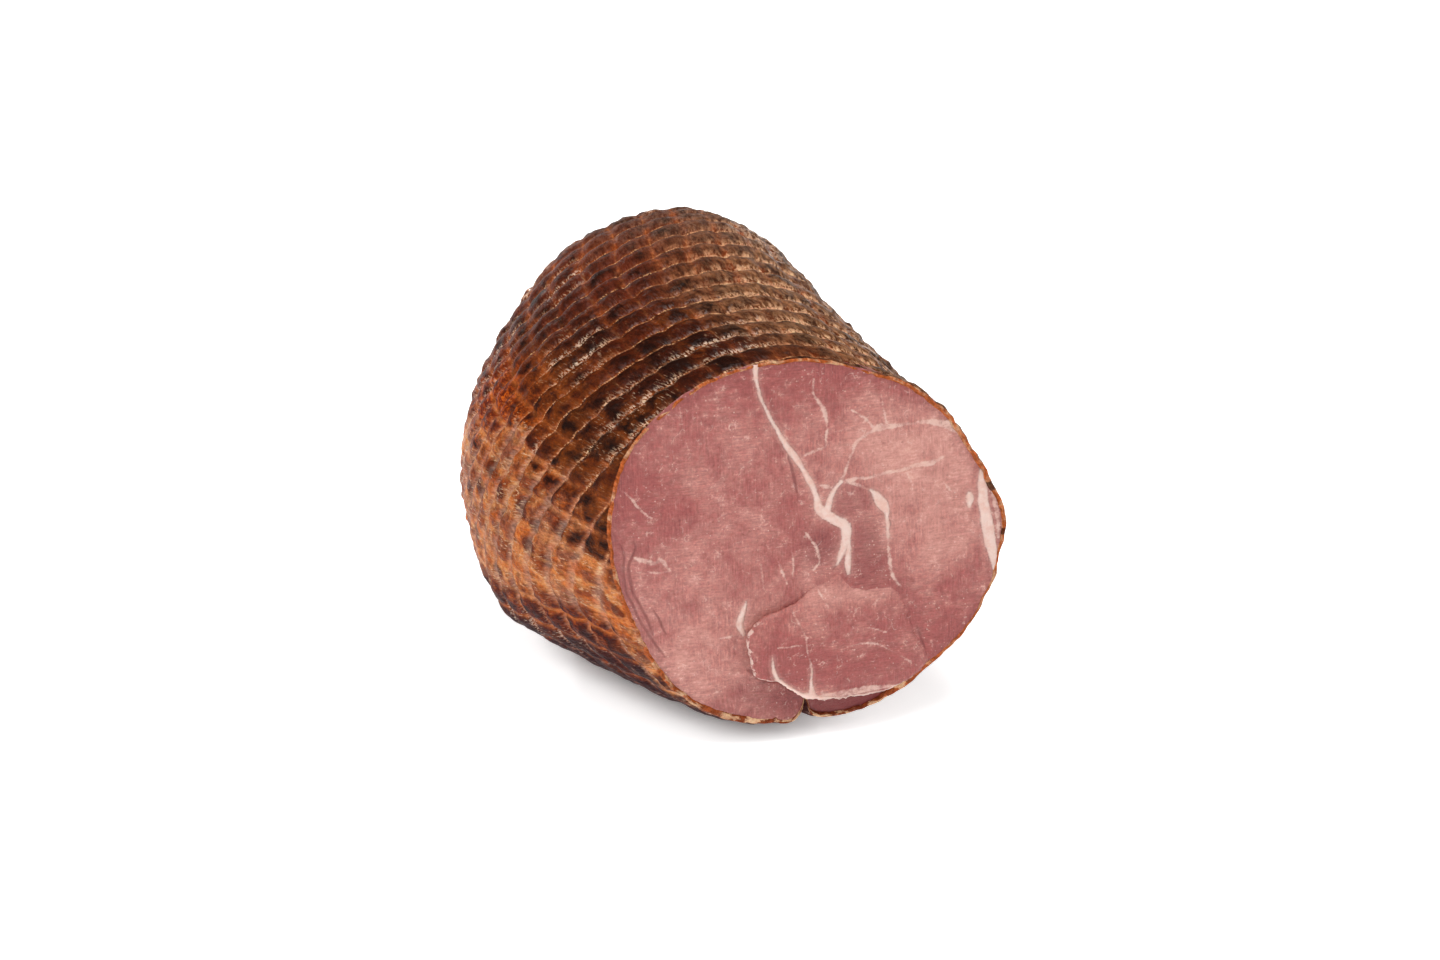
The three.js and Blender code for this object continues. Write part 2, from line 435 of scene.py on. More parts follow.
# Each patch of a zone: run, angle, reach along, reach around and, where it is given, softness.
PATCHES = {
    Zone.FAT: (
        (54, 181, 42, 24), (14, 190, 18, 14), (3, 214, 6, 30), (1, 322, 5, 14),
        (92, 184, 32, 22), (112, 322, 26, 12, 0.9), (30, 2, 40, 9), (48, 156, 9, 6),
        (150, 250, 14, 18, 0.9)),
    Zone.DARK: (
        (10, 128, 24, 34), (36, 112, 34, 24), (40, 145, 20, 11), (74, 120, 18, 14),
        (130, 20, 30, 25)),
    Zone.GOLD: ((18, 160, 22, 16), (46, 142, 24, 14)),
    Zone.EMBER: ((70, 158, 30, 17), (40, 170, 24, 11), (40, 206, 34, 8)),
    Zone.OLIVE: ((34, 64, 50, 26), (70, 48, 50, 24), (20, 30, 30, 20)),
    Zone.PURPLE: ((58, 254, 92, 48, 0.2), (60, 300, 60, 30)),
    Zone.GREY: ((110, 66, 30, 34), (150, 120, 30, 60)),
    Zone.RED: ((82, 92, 36, 36), (84, 146, 30, 18), (120, 150, 40, 40)),
    Zone.WET_AND_GLINTS: (
        (9, 135, 9, 18), (14, 104, 8, 16), (21, 88, 7, 9), (46, 126, 12, 8), (46, 156, 14, 7),
        (40, 172, 20, 6), (90, 116, 9, 8), (96, 150, 16, 18), (60, 214, 30, 7)),
    Zone.CHAR: ((0, 12, 4, 1.8), (0, 357, 3, 1.2)),
    Zone.FROST_AND_SHEEN: (
        (30, 40, 56, 8), (90, 52, 16, 9), (117, 76, 9, 32), (116, 146, 8, 36),
        (98, 190, 7, 24)),
    Zone.SPOT: (
        (36, 172, 3.5, 3.5), (30, 176, 3, 2.6), (34.5, 183, 3.6, 4), (4.5, 177, 2.6, 3.4),
        (4.5, 167, 2.6, 3.4), (27, 186, 2.6, 2.6), (3, 197, 2, 2.6), (25, 204, 4, 3),
        (18.5, 174, 2.6, 3), (5, 158, 3, 3), (60, 196, 3, 2.4), (76, 188, 3, 2.4),
        (70, 172, 3, 3), (61, 165, 3, 2.6), (82, 177, 3, 3), (50, 169, 2.6, 3)),
}


# ---------------------------------------------------------------- meshes

@dataclass
class Shell:
    """A closed mesh in the making: points in mm, faces and values for each point."""

    points: Array
    quads: Array
    wide_faces: list[Array] = field(default_factory=list)
    values: Values = field(default_factory=dict)

    def to_object(self, name: str, form: RoastForm) -> bpy.types.Object:
        """Makes the Blender object and ties it to the frame.

        Args:
            name: Name of the piece.
            form: The form, which knows the frame's origin.

        Returns:
            The new object.
        """
        mesh = bpy.data.meshes.new(name)
        sizes = [4] * len(self.quads) + [len(wide) for wide in self.wide_faces]
        sizes = np.array(sizes, dtype=np.int32)
        corners = np.concatenate([self.quads.reshape(-1), *self.wide_faces]).astype(np.int32)
        mesh.vertices.add(len(self.points))
        mesh.vertices.foreach_set("co", form.to_frame(self.points).astype(np.float32).ravel())
        mesh.loops.add(len(corners))
        mesh.loops.foreach_set("vertex_index", corners)
        mesh.polygons.add(len(sizes))
        mesh.polygons.foreach_set("loop_start", np.cumsum(sizes) - sizes)
        mesh.polygons.foreach_set("loop_total", sizes)
        mesh.update(calc_edges=True)
        mesh.shade_smooth()
        for key, value in self.values.items():
            row = value.reshape(-1).astype(np.float32)
            vector = row.size == 3 * len(self.points)
            layer = mesh.attributes.new(key, "FLOAT_VECTOR" if vector else "FLOAT", "POINT")
            layer.data.foreach_set("vector" if vector else "value", row)
        mesh.validate()
        piece = bpy.data.objects.new(name, mesh)
        bpy.context.scene.collection.objects.link(piece)
        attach(piece, BODY)
        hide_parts(NODE)
        triangles = int((sizes - 2).sum())
        LOG.info("%s: %d points, %d triangles", name, len(self.points), triangles)
        return piece


def tube_quads(rows: int, columns: int) -> Array:
    """Quads between rows of points that close on themselves.

    Args:
        rows: How many rows.
        columns: How many points in a row.

    Returns:
        One quad in each line.
    """
    row, column = np.meshgrid(np.arange(rows - 1), np.arange(columns), indexing="ij")
    after = (column + 1) % columns
    first = row * columns
    quads = [first + column, first + columns + column, first + columns + after, first + after]
    return np.stack([part.reshape(-1) for part in quads], axis=1)


@dataclass(frozen=True)
class Slab:
    """A closed slab over the face: an even grid inside an outline, with walls and a back."""

    cells: int
    centre: tuple[float, float] = (0.0, 0.0)

    def grid(self) -> tuple[Array, Array]:
        """The even grid of a disc of radius 1.

        Returns:
            How far out and in which direction each point lies.
        """
        even = np.linspace(-1, 1, self.cells + 1)
        a, b = np.meshgrid(even, even, indexing="xy")
        wide = np.abs(a) >= np.abs(b)
        far = np.where(wide, a, b)
        safe = np.where(far == 0, 1, far)
        turn = np.where(wide, math.pi / 4 * b / safe, math.pi / 2 - math.pi / 4 * a / safe)
        u, v = far * np.cos(turn), far * np.sin(turn)
        return np.hypot(u, v).reshape(-1), np.arctan2(v, u).reshape(-1)

    def spread(self, far: Array, angle: Array) -> tuple[Array, Array]:
        """Places across and up the face of points around the slab's centre."""
        return self.centre[0] + far * np.cos(angle), self.centre[1] + far * np.sin(angle)

    def rim(self) -> Array:
        """Numbers of the grid's outer points, in order around it.

        Returns:
            The point numbers.
        """
        n = self.cells
        side = np.arange(n)
        right, top = n + side * (n + 1), n * (n + 1) + n - side
        return np.concatenate([side, right, top, (n - side) * (n + 1)])

    def shell(self, top: Array, walls: list[Array], values: Values) -> Shell:
        """Closes the grid with walls and a back.

        Args:
            top: Points of the grid.
            walls: Rows of points under its outer points, the last of them the back's edge.
            values: Values for each point of the grid.

        Returns:
            The closed mesh.
        """
        n = self.cells
        x, y = np.meshgrid(np.arange(n), np.arange(n), indexing="xy")
        low = (y * (n + 1) + x).reshape(-1)
        quads = [np.stack([low, low + 1, low + n + 2, low + n + 1], axis=1)]
        upper = rim = self.rim()
        for i in range(len(walls)):
            lower = (n + 1) ** 2 + i * len(rim) + np.arange(len(rim))
            wall = [upper, lower, np.roll(lower, -1), np.roll(upper, -1)]
            quads.append(np.stack(wall, axis=1))
            upper = lower
        values = {key: np.concatenate([value, *[value[rim]] * len(walls)])
                  for key, value in values.items()}
        points = np.concatenate([top, *walls])
        return Shell(points, np.concatenate(quads), [upper[::-1].copy()], values)


# ---------------------------------------------------------------- the cut face

class Kind(Enum):
    """What a line on the cut meat is."""

    FAT = "fat_in"
    SILVER = "silver_in"
    CREASE = "crease_in"


@dataclass(frozen=True)
class Shade:
    """A soft patch of the meat that is paler, or darker where its amount is below 0."""

    u: float
    v: float
    reach_u: float
    reach_v: float
    amount: float

    def over(self, u: Array, v: Array, sharpness: float = 2.0) -> Array:
        """How much paler each point is; a high sharpness ends the patch suddenly."""
        far = np.hypot((u - self.u) / self.reach_u, (v - self.v) / self.reach_v)
        return self.amount * np.exp(-(far**sharpness))


FACE_SHADES = (
    Shade(-8, 66, 60, 18, -0.52), Shade(-64, 0, 14, 60, -0.08), Shade(-50, 22, 14, 14, -0.4),
    Shade(-30, -34, 28, 24, 0.26), Shade(-36, 8, 20, 16, -0.02), Shade(37, 29, 26, 15, 0.5),
    Shade(42, 2, 14, 18, 0.32), Shade(44, -40, 26, 20, -0.46), Shade(20, -12, 9, 9, -0.35),
    Shade(0, 32, 9, 16, 0.05), Shade(-5, 10, 9, 16, -0.2), Shade(26, 6, 6, 8, 0.25),
)
# Darker meat, and painted shade in the hollows and painted shadow under the small muscle's free
# edges.
FACE_DARK_AND_SHADE = (
    Shade(5.5, -2, 6.5, 7, 1.0), Shade(16, 13.5, 8, 7, 0.62), Shade(21, -4, 6.5, 14, 0.85),
    Shade(12, 5, 3.5, 4, 0.4), Shade(-12, -50, 15, 8, 0.85), Shade(-5, -53, 11, 7, 1.3),
    Shade(-19, -35, 5, 12, 0.35), Shade(30, -26, 6, 16, 0.3),
)
FLAP_SHADES = (
    Shade(14, -18, 30, 6, 0.4), Shade(-8, -28, 10, 6, 0.25), Shade(14, -43, 16, 7, -0.35),
    Shade(28, -36, 10, 10, -0.15), Shade(-6, -38, 9, 9, -0.5),
)


@dataclass(frozen=True)
class Line:
    """A seam or a crease: points across and up the face, each with its full width."""

    points: Rows

    def inside(self, u: Array, v: Array) -> Array:
        """How deep points lie inside the line.

        Args:
            u: Places across the face.
            v: Places up the face.

        Returns:
            Depth in mm, negative outside.
        """
        best = np.full(u.shape, OUTSIDE)
        corners = curve(self.points, 4)
        for (u0, v0, w0), (u1, v1, w1) in zip(corners[:-1], corners[1:]):
            span = (u1 - u0) ** 2 + (v1 - v0) ** 2 + 1e-9
            share = np.clip(((u - u0) * (u1 - u0) + (v - v0) * (v1 - v0)) / span, 0, 1)
            gap = np.hypot(u - u0 - share * (u1 - u0), v - v0 - share * (v1 - v0))
            best = np.maximum(best, (w0 + share * (w1 - w0)) / 2 - gap)
        return best


def even_line(width: float, *points: tuple[float, float]) -> Line:
    """A line of one width in mm that thins out at both ends."""
    widths = (width * 0.45, *[width] * (len(points) - 2), width * 0.45)
    return Line(tuple((u, v, wide) for (u, v), wide in zip(points, widths)))


FACE_LINES = {
    Kind.FAT: (
        Line((
            (-12.9, 64, 2.4), (-13.4, 59.5, 1.5), (-12.4, 52.8, 0.9), (-10.3, 47, 1),
            (-7.8, 41.2, 1.3), (-5.3, 35.8, 1.7), (-2.3, 31, 2.1), (0.2, 26.8, 1.5),
            (2.7, 21.4, 1.7), (4.3, 16.7, 1.8), (5.2, 12.8, 2.5), (7, 10.4, 3.4), (9.9, 8, 3.4),
            (13, 5.9, 3.5), (14, 2.9, 3.1), (13.3, -1, 2.5), (11.8, -4.9, 1.8), (10.7, -8, 0.6))),
        Line(((14.8, 5.5, 1.2), (14.8, 2, 0.9), (14.6, -2.4, 1.3), (14.1, -7.5, 2.2),
              (14.3, -11.6, 1))),
        Line(((8, 11.5, 2.4), (9.2, 15.5, 1.6), (10.6, 18.2, 1.2), (12.5, 20.2, 1.5))),
        Line(((22, 16.4, 0.8), (24, 14, 2.6), (25.6, 11.5, 3.4), (27.2, 8.5, 1.8),
              (27.2, 5.3, 1), (27.5, -0.5, 0.7))),
        Line(((58.5, 22, 0.8), (58.2, 15.3, 2.4), (58.6, 8.4, 3.2), (59.4, 1.6, 3.8),
              (60.9, -6.7, 3.8), (62.2, -13, 2.6), (63, -18.6, 0.8))),
        Line(((54, 11, 1.6), (54.4, 9, 2.4), (54, 7, 1.4))),
        Line(((-18.7, -17.5, 0.5), (-20.2, -21.7, 2), (-21.2, -25.5, 2.2), (-19.8, -29, 1.2))),
    ),
    Kind.SILVER: (
        even_line(1.2, (61, 13), (62.4, 7), (63.2, 1), (63.6, -5)),
        Line(((12.5, 20.2, 1.1), (14.5, 25.1, 0.6), (16.7, 31.1, 0.6), (17.8, 33.2, 0.9),
              (23.1, 36.5, 0.9), (25.5, 37.3, 2), (31.6, 37.2, 0.9), (36.4, 37.5, 0.9),
              (41.7, 37.2, 1.5), (47, 35.5, 2.4), (51.3, 32.2, 1.6))),
        Line(((12.5, 20.2, 0.9), (17.6, 20.8, 0.9), (21.8, 20.9, 0.8), (26.1, 21.5, 0.8),
              (32.5, 22.2, 1), (36.8, 23.1, 1.3), (41.6, 23.4, 1.6), (45.4, 24.9, 0.6))),
        even_line(0.6, (23.2, 37.6), (20.1, 41.4), (16.4, 44)),
        even_line(0.5, (26, 47.9), (26.9, 42.8), (27.7, 38)),
        even_line(0.7, (24, 21.2), (25.5, 19)),
        even_line(0.5, (33.6, 21.2), (35.7, 16.4)),
        even_line(0.5, (45.8, 16.3), (47.7, 13.2)),
        even_line(0.8, (12.5, 20.2), (16.5, 19.2), (19.7, 17.7), (22.3, 16)),
        even_line(0.8, (27.5, -0.5), (27.8, -7.5), (28.3, -13.3), (31, -18)),
        Line(((4.8, 55.8, 0.4), (4.5, 51.4, 0.5), (6, 48, 0.8), (8, 44.9, 1.2),
              (8.4, 40.4, 0.5), (8.3, 35.4, 0.6), (8, 32.6, 0.5), (4.6, 31.9, 0.9),
              (1.1, 30.6, 0.5))),
        even_line(1.2, (5.9, 19.9), (7.6, 19.3), (9.3, 18.9)),
        even_line(1.4, (-53.3, 1.8), (-51.2, 0.6), (-47.7, -0.8), (-45.3, -0.1), (-43, -3)),
        even_line(0.5, (-50, -3.2), (-46.5, -4.2), (-42.5, -3.6)),
        even_line(0.5, (-57.2, 25.7), (-53.3, 21.5), (-50.5, 17.3), (-47.6, 15)),
        even_line(0.5, (-27.8, -29.3), (-25.3, -29.3), (-21.7, -28.8)),
        even_line(-0.4, (-27.2, 58.8), (-25.3, 51.9), (-22.7, 44.6), (-21.1, 38.1)),
        even_line(-0.4, (-33.5, 56.8), (-31.9, 51), (-30.6, 44.2)),
        even_line(-0.4, (-37.7, 52.7), (-36.2, 43.2), (-35.3, 36.3)),
        even_line(0.45, (-13.7, -5.3), (-13.5, -9.3), (-13, -14)),
        even_line(0.45, (-8.8, -3.3), (-7.1, -7.5), (-5.4, -12.9)),
        even_line(0.45, (-3.9, -1.3), (-3.4, -5.9), (-3.6, -10.5)),
        even_line(0.45, (1, 4), (4, -1), (5, -6), (3, -9)),
    ),
    # Creases, drawn darker as painted shade.
    Kind.CREASE: (
        even_line(0.8, (-3.9, 30.6), (-2.9, 26.6), (-2.1, 22.5), (-1.5, 18.5)),
        even_line(0.6, (-58.1, 7.3), (-56.8, 3.2), (-57.3, -2.6), (-56.7, -9.2), (-54.9, -14),
                  (-52.7, -20.2), (-49.4, -26.6), (-45.5, -33.7)),
        even_line(0.6, (-53.6, 7.4), (-53.1, 4.7), (-55.5, -1.5), (-54.7, -9.4),
                  (-52.5, -14.9), (-49.8, -21.9), (-48.8, -25.3)),
        even_line(0.5, (-48.4, -16.8), (-46.5, -21), (-44.9, -25.8)),
        # Along the small muscle's lower-left edge; its darkening is painted shadow under that
        # edge.
        even_line(1.3, (-18.6, -41.8), (-14.5, -45.2), (-9.9, -46.5), (-4.4, -51.2)),
        even_line(0.6, (27.9, 5.3), (28.1, 3.2)),
        even_line(0.6, (11.5, -7), (9.5, -9.5)),
        even_line(0.5, (36.6, -33), (37.6, -37), (39.2, -41.5)),
    ),
}
FLAP_LINES = {
    Kind.FAT: (
        Line(((1.2, -42, 0.4), (0.8, -46.8, 0.9), (1, -51, 1.8))),
        Line(((-11.9, -36, 0.3), (-11.6, -39, 0.9), (-11.2, -41.1, 1.1), (-9.7, -44.8, 1.5),
              (-6.6, -48.2, 1.6), (-2, -51.6, 1.8))),
        Line(((-3.5, -50.8, 1), (0.5, -52, 2.6), (4, -53.2, 1.2), (11.9, -54.6, 0.4),
              (17.4, -54.8, 0.4), (22, -54.6, 0.2))),
    ),
    Kind.SILVER: (
        even_line(0.1, (-4.3, -21.9), (-2.7, -25.6), (-0.7, -30.6), (-0.3, -35.4),
                  (0.7, -39.1), (1.2, -43.3)),
        even_line(0.1, (-9.9, -33), (-5.1, -33.3), (-1.8, -33.4)),
        even_line(0.1, (13.2, -36.5), (16, -36.3), (18.7, -36), (23, -37.2), (27.3, -40.1),
                  (31.7, -43.4), (36, -47.2)),
        even_line(0.1, (4.2, -15.7), (5.8, -19.1), (7.3, -22.2)),
        even_line(0.0, (19.3, -30.8), (23.1, -31.9), (26.3, -33.8)),
        Line(((3, -52.8, 1.2), (8, -52.9, 1.9), (14, -52.8, 2.1), (20, -52.8, 1.8),
              (25, -53.2, 1.2), (29, -53.6, 0.5))),
    ),
    Kind.CREASE: (),
}
FLAP_EDGE = (
    (11, -10), (4, -15), (-2.5, -19), (-9, -22), (-13, -22.7), (-17, -25.5), (-19.3, -30.5),
    (-18.6, -36), (-18, -41.5), (-14, -44.5), (-9.5, -45.8), (-4, -50.5), (0, -53),
    (5.5, -54.6), (11, -55.2), (17, -55.3), (25, -55), (31, -53.2), (37, -49.2), (40, -45),
    (37.2, -39), (35.3, -32), (33.5, -26.5), (31.5, -21), (30, -18.5), (27, -17.5),
    (20, -17), (15.5, -15.5),
)


@dataclass(frozen=True)
class Rim:
    """The rim of the cut: how thick the crust shows, and the split under the small muscle.

    A thicker part and a bulge are each given as middle angle, half width and amount.
    """

    thickness: float = 0.35
    thicker: Rows = ((25, 42, 0.7), (304, 9, 2.7), (205, 26, 0.3), (252, 15, 1.5))
    thinnest: float = 0.12
    ragged: float = 0.3
    ragged_radius: float = 60.0
    inset: float = 0.6
    radius: float = 62.0
    split_angle: float = 269.6
    split_depth: float = 6.0
    split_half: float = 0.9
    shoulder: float = 3.0
    shoulder_half: float = 4.2
    bulges: Rows = ((281.5, 9, 1.4), (295, 11, 2.1), (2, 8, 2.0), (47, 14, 2.2))
    reach: float = 11.0

    @staticmethod
    def bumps(angle: Array, given: Rows) -> Array:
        """The sum of soft bumps around the rim."""
        turn = np.degrees(angle)
        return sum(rise * bell(around(turn, middle), half) for middle, half, rise in given)

    def crust(self, angle: Array) -> Array:
        """How thick the crust is that shows around the meat.

        Args:
            angle: Directions in the face, in radians.

        Returns:
            Thickness in mm.
        """
        extra = self.bumps(angle, self.thicker)
        uneven = self.ragged * (1 + 0.8 * extra)
        uneven = uneven * Grain(81).rough(hoop(angle, self.ragged_radius), 5.0, 4)
        return np.maximum(self.thinnest, self.thickness + extra + uneven)

    def bite(self, angle: Array, run: Number) -> Array:
        """How far the rim is pulled in at the split, and out at the bulges.

        Args:
            angle: Direction of each point, in radians.
            run: How far each point is from the rim, in mm.

        Returns:
            Distance in mm, below 0 where it bulges.
        """
        aside = np.abs(np.radians(around(np.degrees(angle), self.split_angle)) * self.radius)
        fade = smoothstep(self.reach, 1.0, run)
        sharp = self.split_depth * bell(aside, self.split_half)
        wide = self.shoulder * bell(aside, self.shoulder_half) ** 2
        return fade * (sharp + wide - self.bumps(angle, self.bulges))

    def meat_radius(self, form: RoastForm, angle: Array) -> Array:
        """How far the meat reaches from the middle of the face, in mm."""
        whole = form.section_radius(np.zeros_like(angle), angle)
        return whole - self.inset - self.crust(angle) - self.bite(angle, 0.0)


@dataclass
class CrustPiece:
    """The crust: the whole outside of the roast, with a lip at the rim of the cut.

    A wave is given as height, turns around, length along in mm and start, and crumbs as seed,
    size in mm, layers and height. A swelling is a patch and its height.
    """

    form: RoastForm
    net: NetImprint
    rim: Rim
    columns: int = 444
    rows: int = 200
    tip_share: float = 0.9992
    tip_calm: tuple[float, float] = (4, 26)
    lip: Rows = ((0.7, -0.05), (1.1, -2.7), (4.0, -3.1))
    lip_step: float = 1.7
    back_depth: float = 3.3
    lump: float = 0.9
    waves: Rows = ((1.0, 2, 23, 1), (0.7, 5, -17, 0), (0.6, 3, 11, 2))
    crumbs: tuple[tuple[int, float, int, float], ...] = (
        (13, 7.0, 3, 0.5), (14, 2.8, 2, 0.3), (16, 1.8, 1, 0.16))
    edge_wear: float = 0.7
    swells: tuple[tuple[Patch, float], ...] = (
        (Patch(108, 112, 20, 14), 2.2), (Patch(74, 208, 26, 12), 1.6),
        (Patch(66, 216, 16, 8), 1.6))

    def build(self) -> bpy.types.Object:
        """Builds the crust.

        Returns:
            The crust's object.
        """
        form = self.form
        shares, runs = form.run_table()
        total = float(np.interp(self.tip_share, shares, runs))
        run_row = total * np.linspace(0, 1, self.rows + 1)
        turn = np.arange(self.columns) * TAU / self.columns
        run, turned = np.meshgrid(run_row, turn, indexing="ij")
        share = np.repeat(np.interp(run_row, runs, shares)[:, None], self.columns, axis=1)
        angle = (turned + np.radians(self.net.strand_start - self.net.twist * run)) % TAU
        smooth = form.skin(share, angle)
        outward = unit(smooth - form.middle(share))
        ragged = Grain(31).rough(smooth, 17.0, 4)
        values = self.net.read(run, angle, smooth)
        for zone in Zone:
            covers = [Patch(*given).cover(run, angle, ragged) for given in PATCHES[zone]]
            values[zone.value] = np.maximum.reduce(covers)
        height = self._height(run, angle, smooth, total, values)
        points = smooth + outward * height[..., None]
        del values["ring_gap"], values["strand_gap"]
        values["rim"] = 1 - smoothstep(0.0, 0.9, run + 0.6 * Grain(71).rough(smooth, 3.0))
        radius = form.section_radius(share, angle)
        cylinder = [run, radius * np.cos(angle), radius * np.sin(angle)]
        values["grain_at"] = np.stack(cylinder, axis=-1)
        return self._close(points, values)

    def _height(self, run: Array, angle: Array, points: Array, total: float,
                values: Values) -> Array:
        """Relief of the skin.

        Args:
            run: How far each point is from the rim, in mm.
            angle: Direction of each point, in radians.
            points: The smooth points, in mm.
            total: Run of the whole skin.
            values: The zones and the net's lines.

        Returns:
            Height over the smooth skin, in mm.
        """
        slow = sum(height * np.sin(turns * angle + run / length + start)
                   for height, turns, length, start in self.waves)
        slow = slow / sum(wave[0] for wave in self.waves)
        puffed = 1 - 0.4 * values["fat"] + 0.3 * values["purple"] + 0.6 * values["ember"]
        net = self.net.relief(values) * (puffed + 0.3 * values["red"])
        crumb = sum(height * Grain(seed).rough(points, size, layers)
                    for seed, size, layers, height in self.crumbs)
        crumb = crumb * (1 + 0.9 * values["frost_and_sheen"] + 0.5 * values["ember"]
                         + 0.4 * values["olive"])
        tip = smoothstep(*self.tip_calm, total - run)
        floor = self.form.floor
        calm = smoothstep(floor, floor + self.form.floor_calm, points[..., 2])
        edge = smoothstep(0, 3.5, run)
        worn = -self.edge_wear * (1 - smoothstep(0, 2.2, run))
        swell = sum(height * bell(patch.far(run, angle), 1.0) for patch, height in self.swells)
        relief = (net * (0.3 + 0.7 * edge) + self.lump * slow + crumb + swell) * tip * calm
        return relief + worn - self.rim.bite(angle, run)

    def _close(self, points: Array, values: Values) -> bpy.types.Object:
        """Adds the lip at the rim and the hidden back of the cut, and makes the object.

        Args:
            points: Rows of points from the rim to the tip.
            values: Values for each of them.

        Returns:
            The crust's object.
        """
        form, count = self.form, self.columns
        _, across, up = form.frames(np.array(0.0))
        edge = points[0]
        plane = edge - form.middle(np.array(0.0))
        u, v = plane @ across, plane @ up
        far = np.hypot(u, v)
        crust = self.rim.crust(np.arctan2(v, u))
        uneven = 0.2 * Grain(72).rough(edge, 2.5, 3)
        profile = [(0.3, 0.15 + uneven), (0.4 + 0.7 * crust, 0.2 + uneven)]
        profile += [(crust + inset, height) for inset, height in self.lip]
        profile.append((crust + self.lip[-1][0] + 0.5, -self.back_depth))
        inward = []
        for inset, height in profile:
            scale = (far - inset) / far
            inward.append(form.on_face(u * scale, v * scale, height))
        rows = np.stack([*inward[::-1], *points])
        extra = len(inward)
        back = form.on_face(np.array([0.0]), np.array([0.0]), -self.back_depth)
        tip = form.middle(np.array([1.0]))
        body = form.settle(np.concatenate([rows.reshape(-1, 3), back, tip]))
        last = len(rows) * count
        ends = []
        for j in range(count):
            after = (j + 1) % count
            ends.append(np.array([last, j, after]))
            ends.append(np.array([last - count + j, last + 1, last - count + after]))
        for key, value in values.items():
            grown = np.concatenate([np.repeat(value[:1], extra, axis=0), value])
            if key == "rim":
                grown[:extra] = 1.0
            if key == "grain_at":
                grown[:extra, :, 0] = np.arange(extra)[::-1, None] * -self.lip_step
            row = grown.reshape(-1, *value.shape[2:])
            values[key] = np.concatenate([row, row[:1], row[-1:]])
        return Shell(body, tube_quads(len(rows), count), ends, values).to_object("crust", form)

    def dress(self, piece: bpy.types.Object) -> None:
        """Gives the crust its material."""
        piece.data.materials.append(CrustFinish().material())


@dataclass
class MeatSide:
    """What the cut face and the small muscle on it have in common."""

    form: RoastForm
    slab: Slab = Slab(280)

    @staticmethod
    def read_lines(lines: dict[Kind, tuple[Line, ...]], u: Array, v: Array) -> Values:
        """How deep points lie inside the seams and creases.

        Args:
            lines: The seams and creases.
            u: Places across the face.
            v: Places up the face.

        Returns:
            The depth in mm for each kind of line.
        """
        plane = flat(u, v)
        shifted_u = u + 0.35 * Grain(61).rough(plane, 4.0)
        shifted_v = v + 0.35 * Grain(62).rough(plane, 4.0)
        found = {}
        for kind in Kind:
            depths = [line.inside(shifted_u, shifted_v) for line in lines[kind]]
            found[kind.value] = np.maximum.reduce([np.full(u.shape, OUTSIDE), *depths])
        return found

    @staticmethod
    def relief(u: Array, v: Array, found: Values) -> Array:
        """Fine unevenness of cut meat, with its seams and creases.

        Args:
            u: Places across the face.
            v: Places up the face.
            found: What read_lines() gives.

        Returns:
            Height in mm.
        """
        plane = flat(u, v)
        coarse = 0.22 * Grain(43).rough(plane, 13.0)
        stretched = plane * np.array([1.0, 0.35, 1.0])
        fine = 0.07 * Grain(44).rough(plane, 2.4)
        fibre = coarse + fine + 0.06 * Grain(45).at(stretched, 1.3)
        fat = smoothstep(-0.3, 0.6, found["fat_in"])
        beside_fat = bell(found["fat_in"] + 0.2, 0.5)
        crease = smoothstep(-0.4, 0.2, found["crease_in"])
        silver = smoothstep(-0.5, 0.3, found["silver_in"])
        return fibre + (0.25 * fat - 0.18 * beside_fat - 0.35 * crease + 0.06 * silver)

    def close(self, name: str, u: Array, v: Array, height: Array, walls: list[Array],
              found: Values) -> bpy.types.Object:
        """Makes the object from the slab's top and walls.

        Args:
            name: Name of the piece.
            u: Places of the top across the face.
            v: Places up the face.
            height: Height of the top over the face.
            walls: Rows of points under the outer points of the top.
            found: Values for each point of the top.

        Returns:
            The piece's object.
        """
        found["face_at"] = np.stack([u, v, height], axis=-1)
        top = self.form.on_face(u, v, height)
        return self.slab.shell(top, walls, found).to_object(name, self.form)


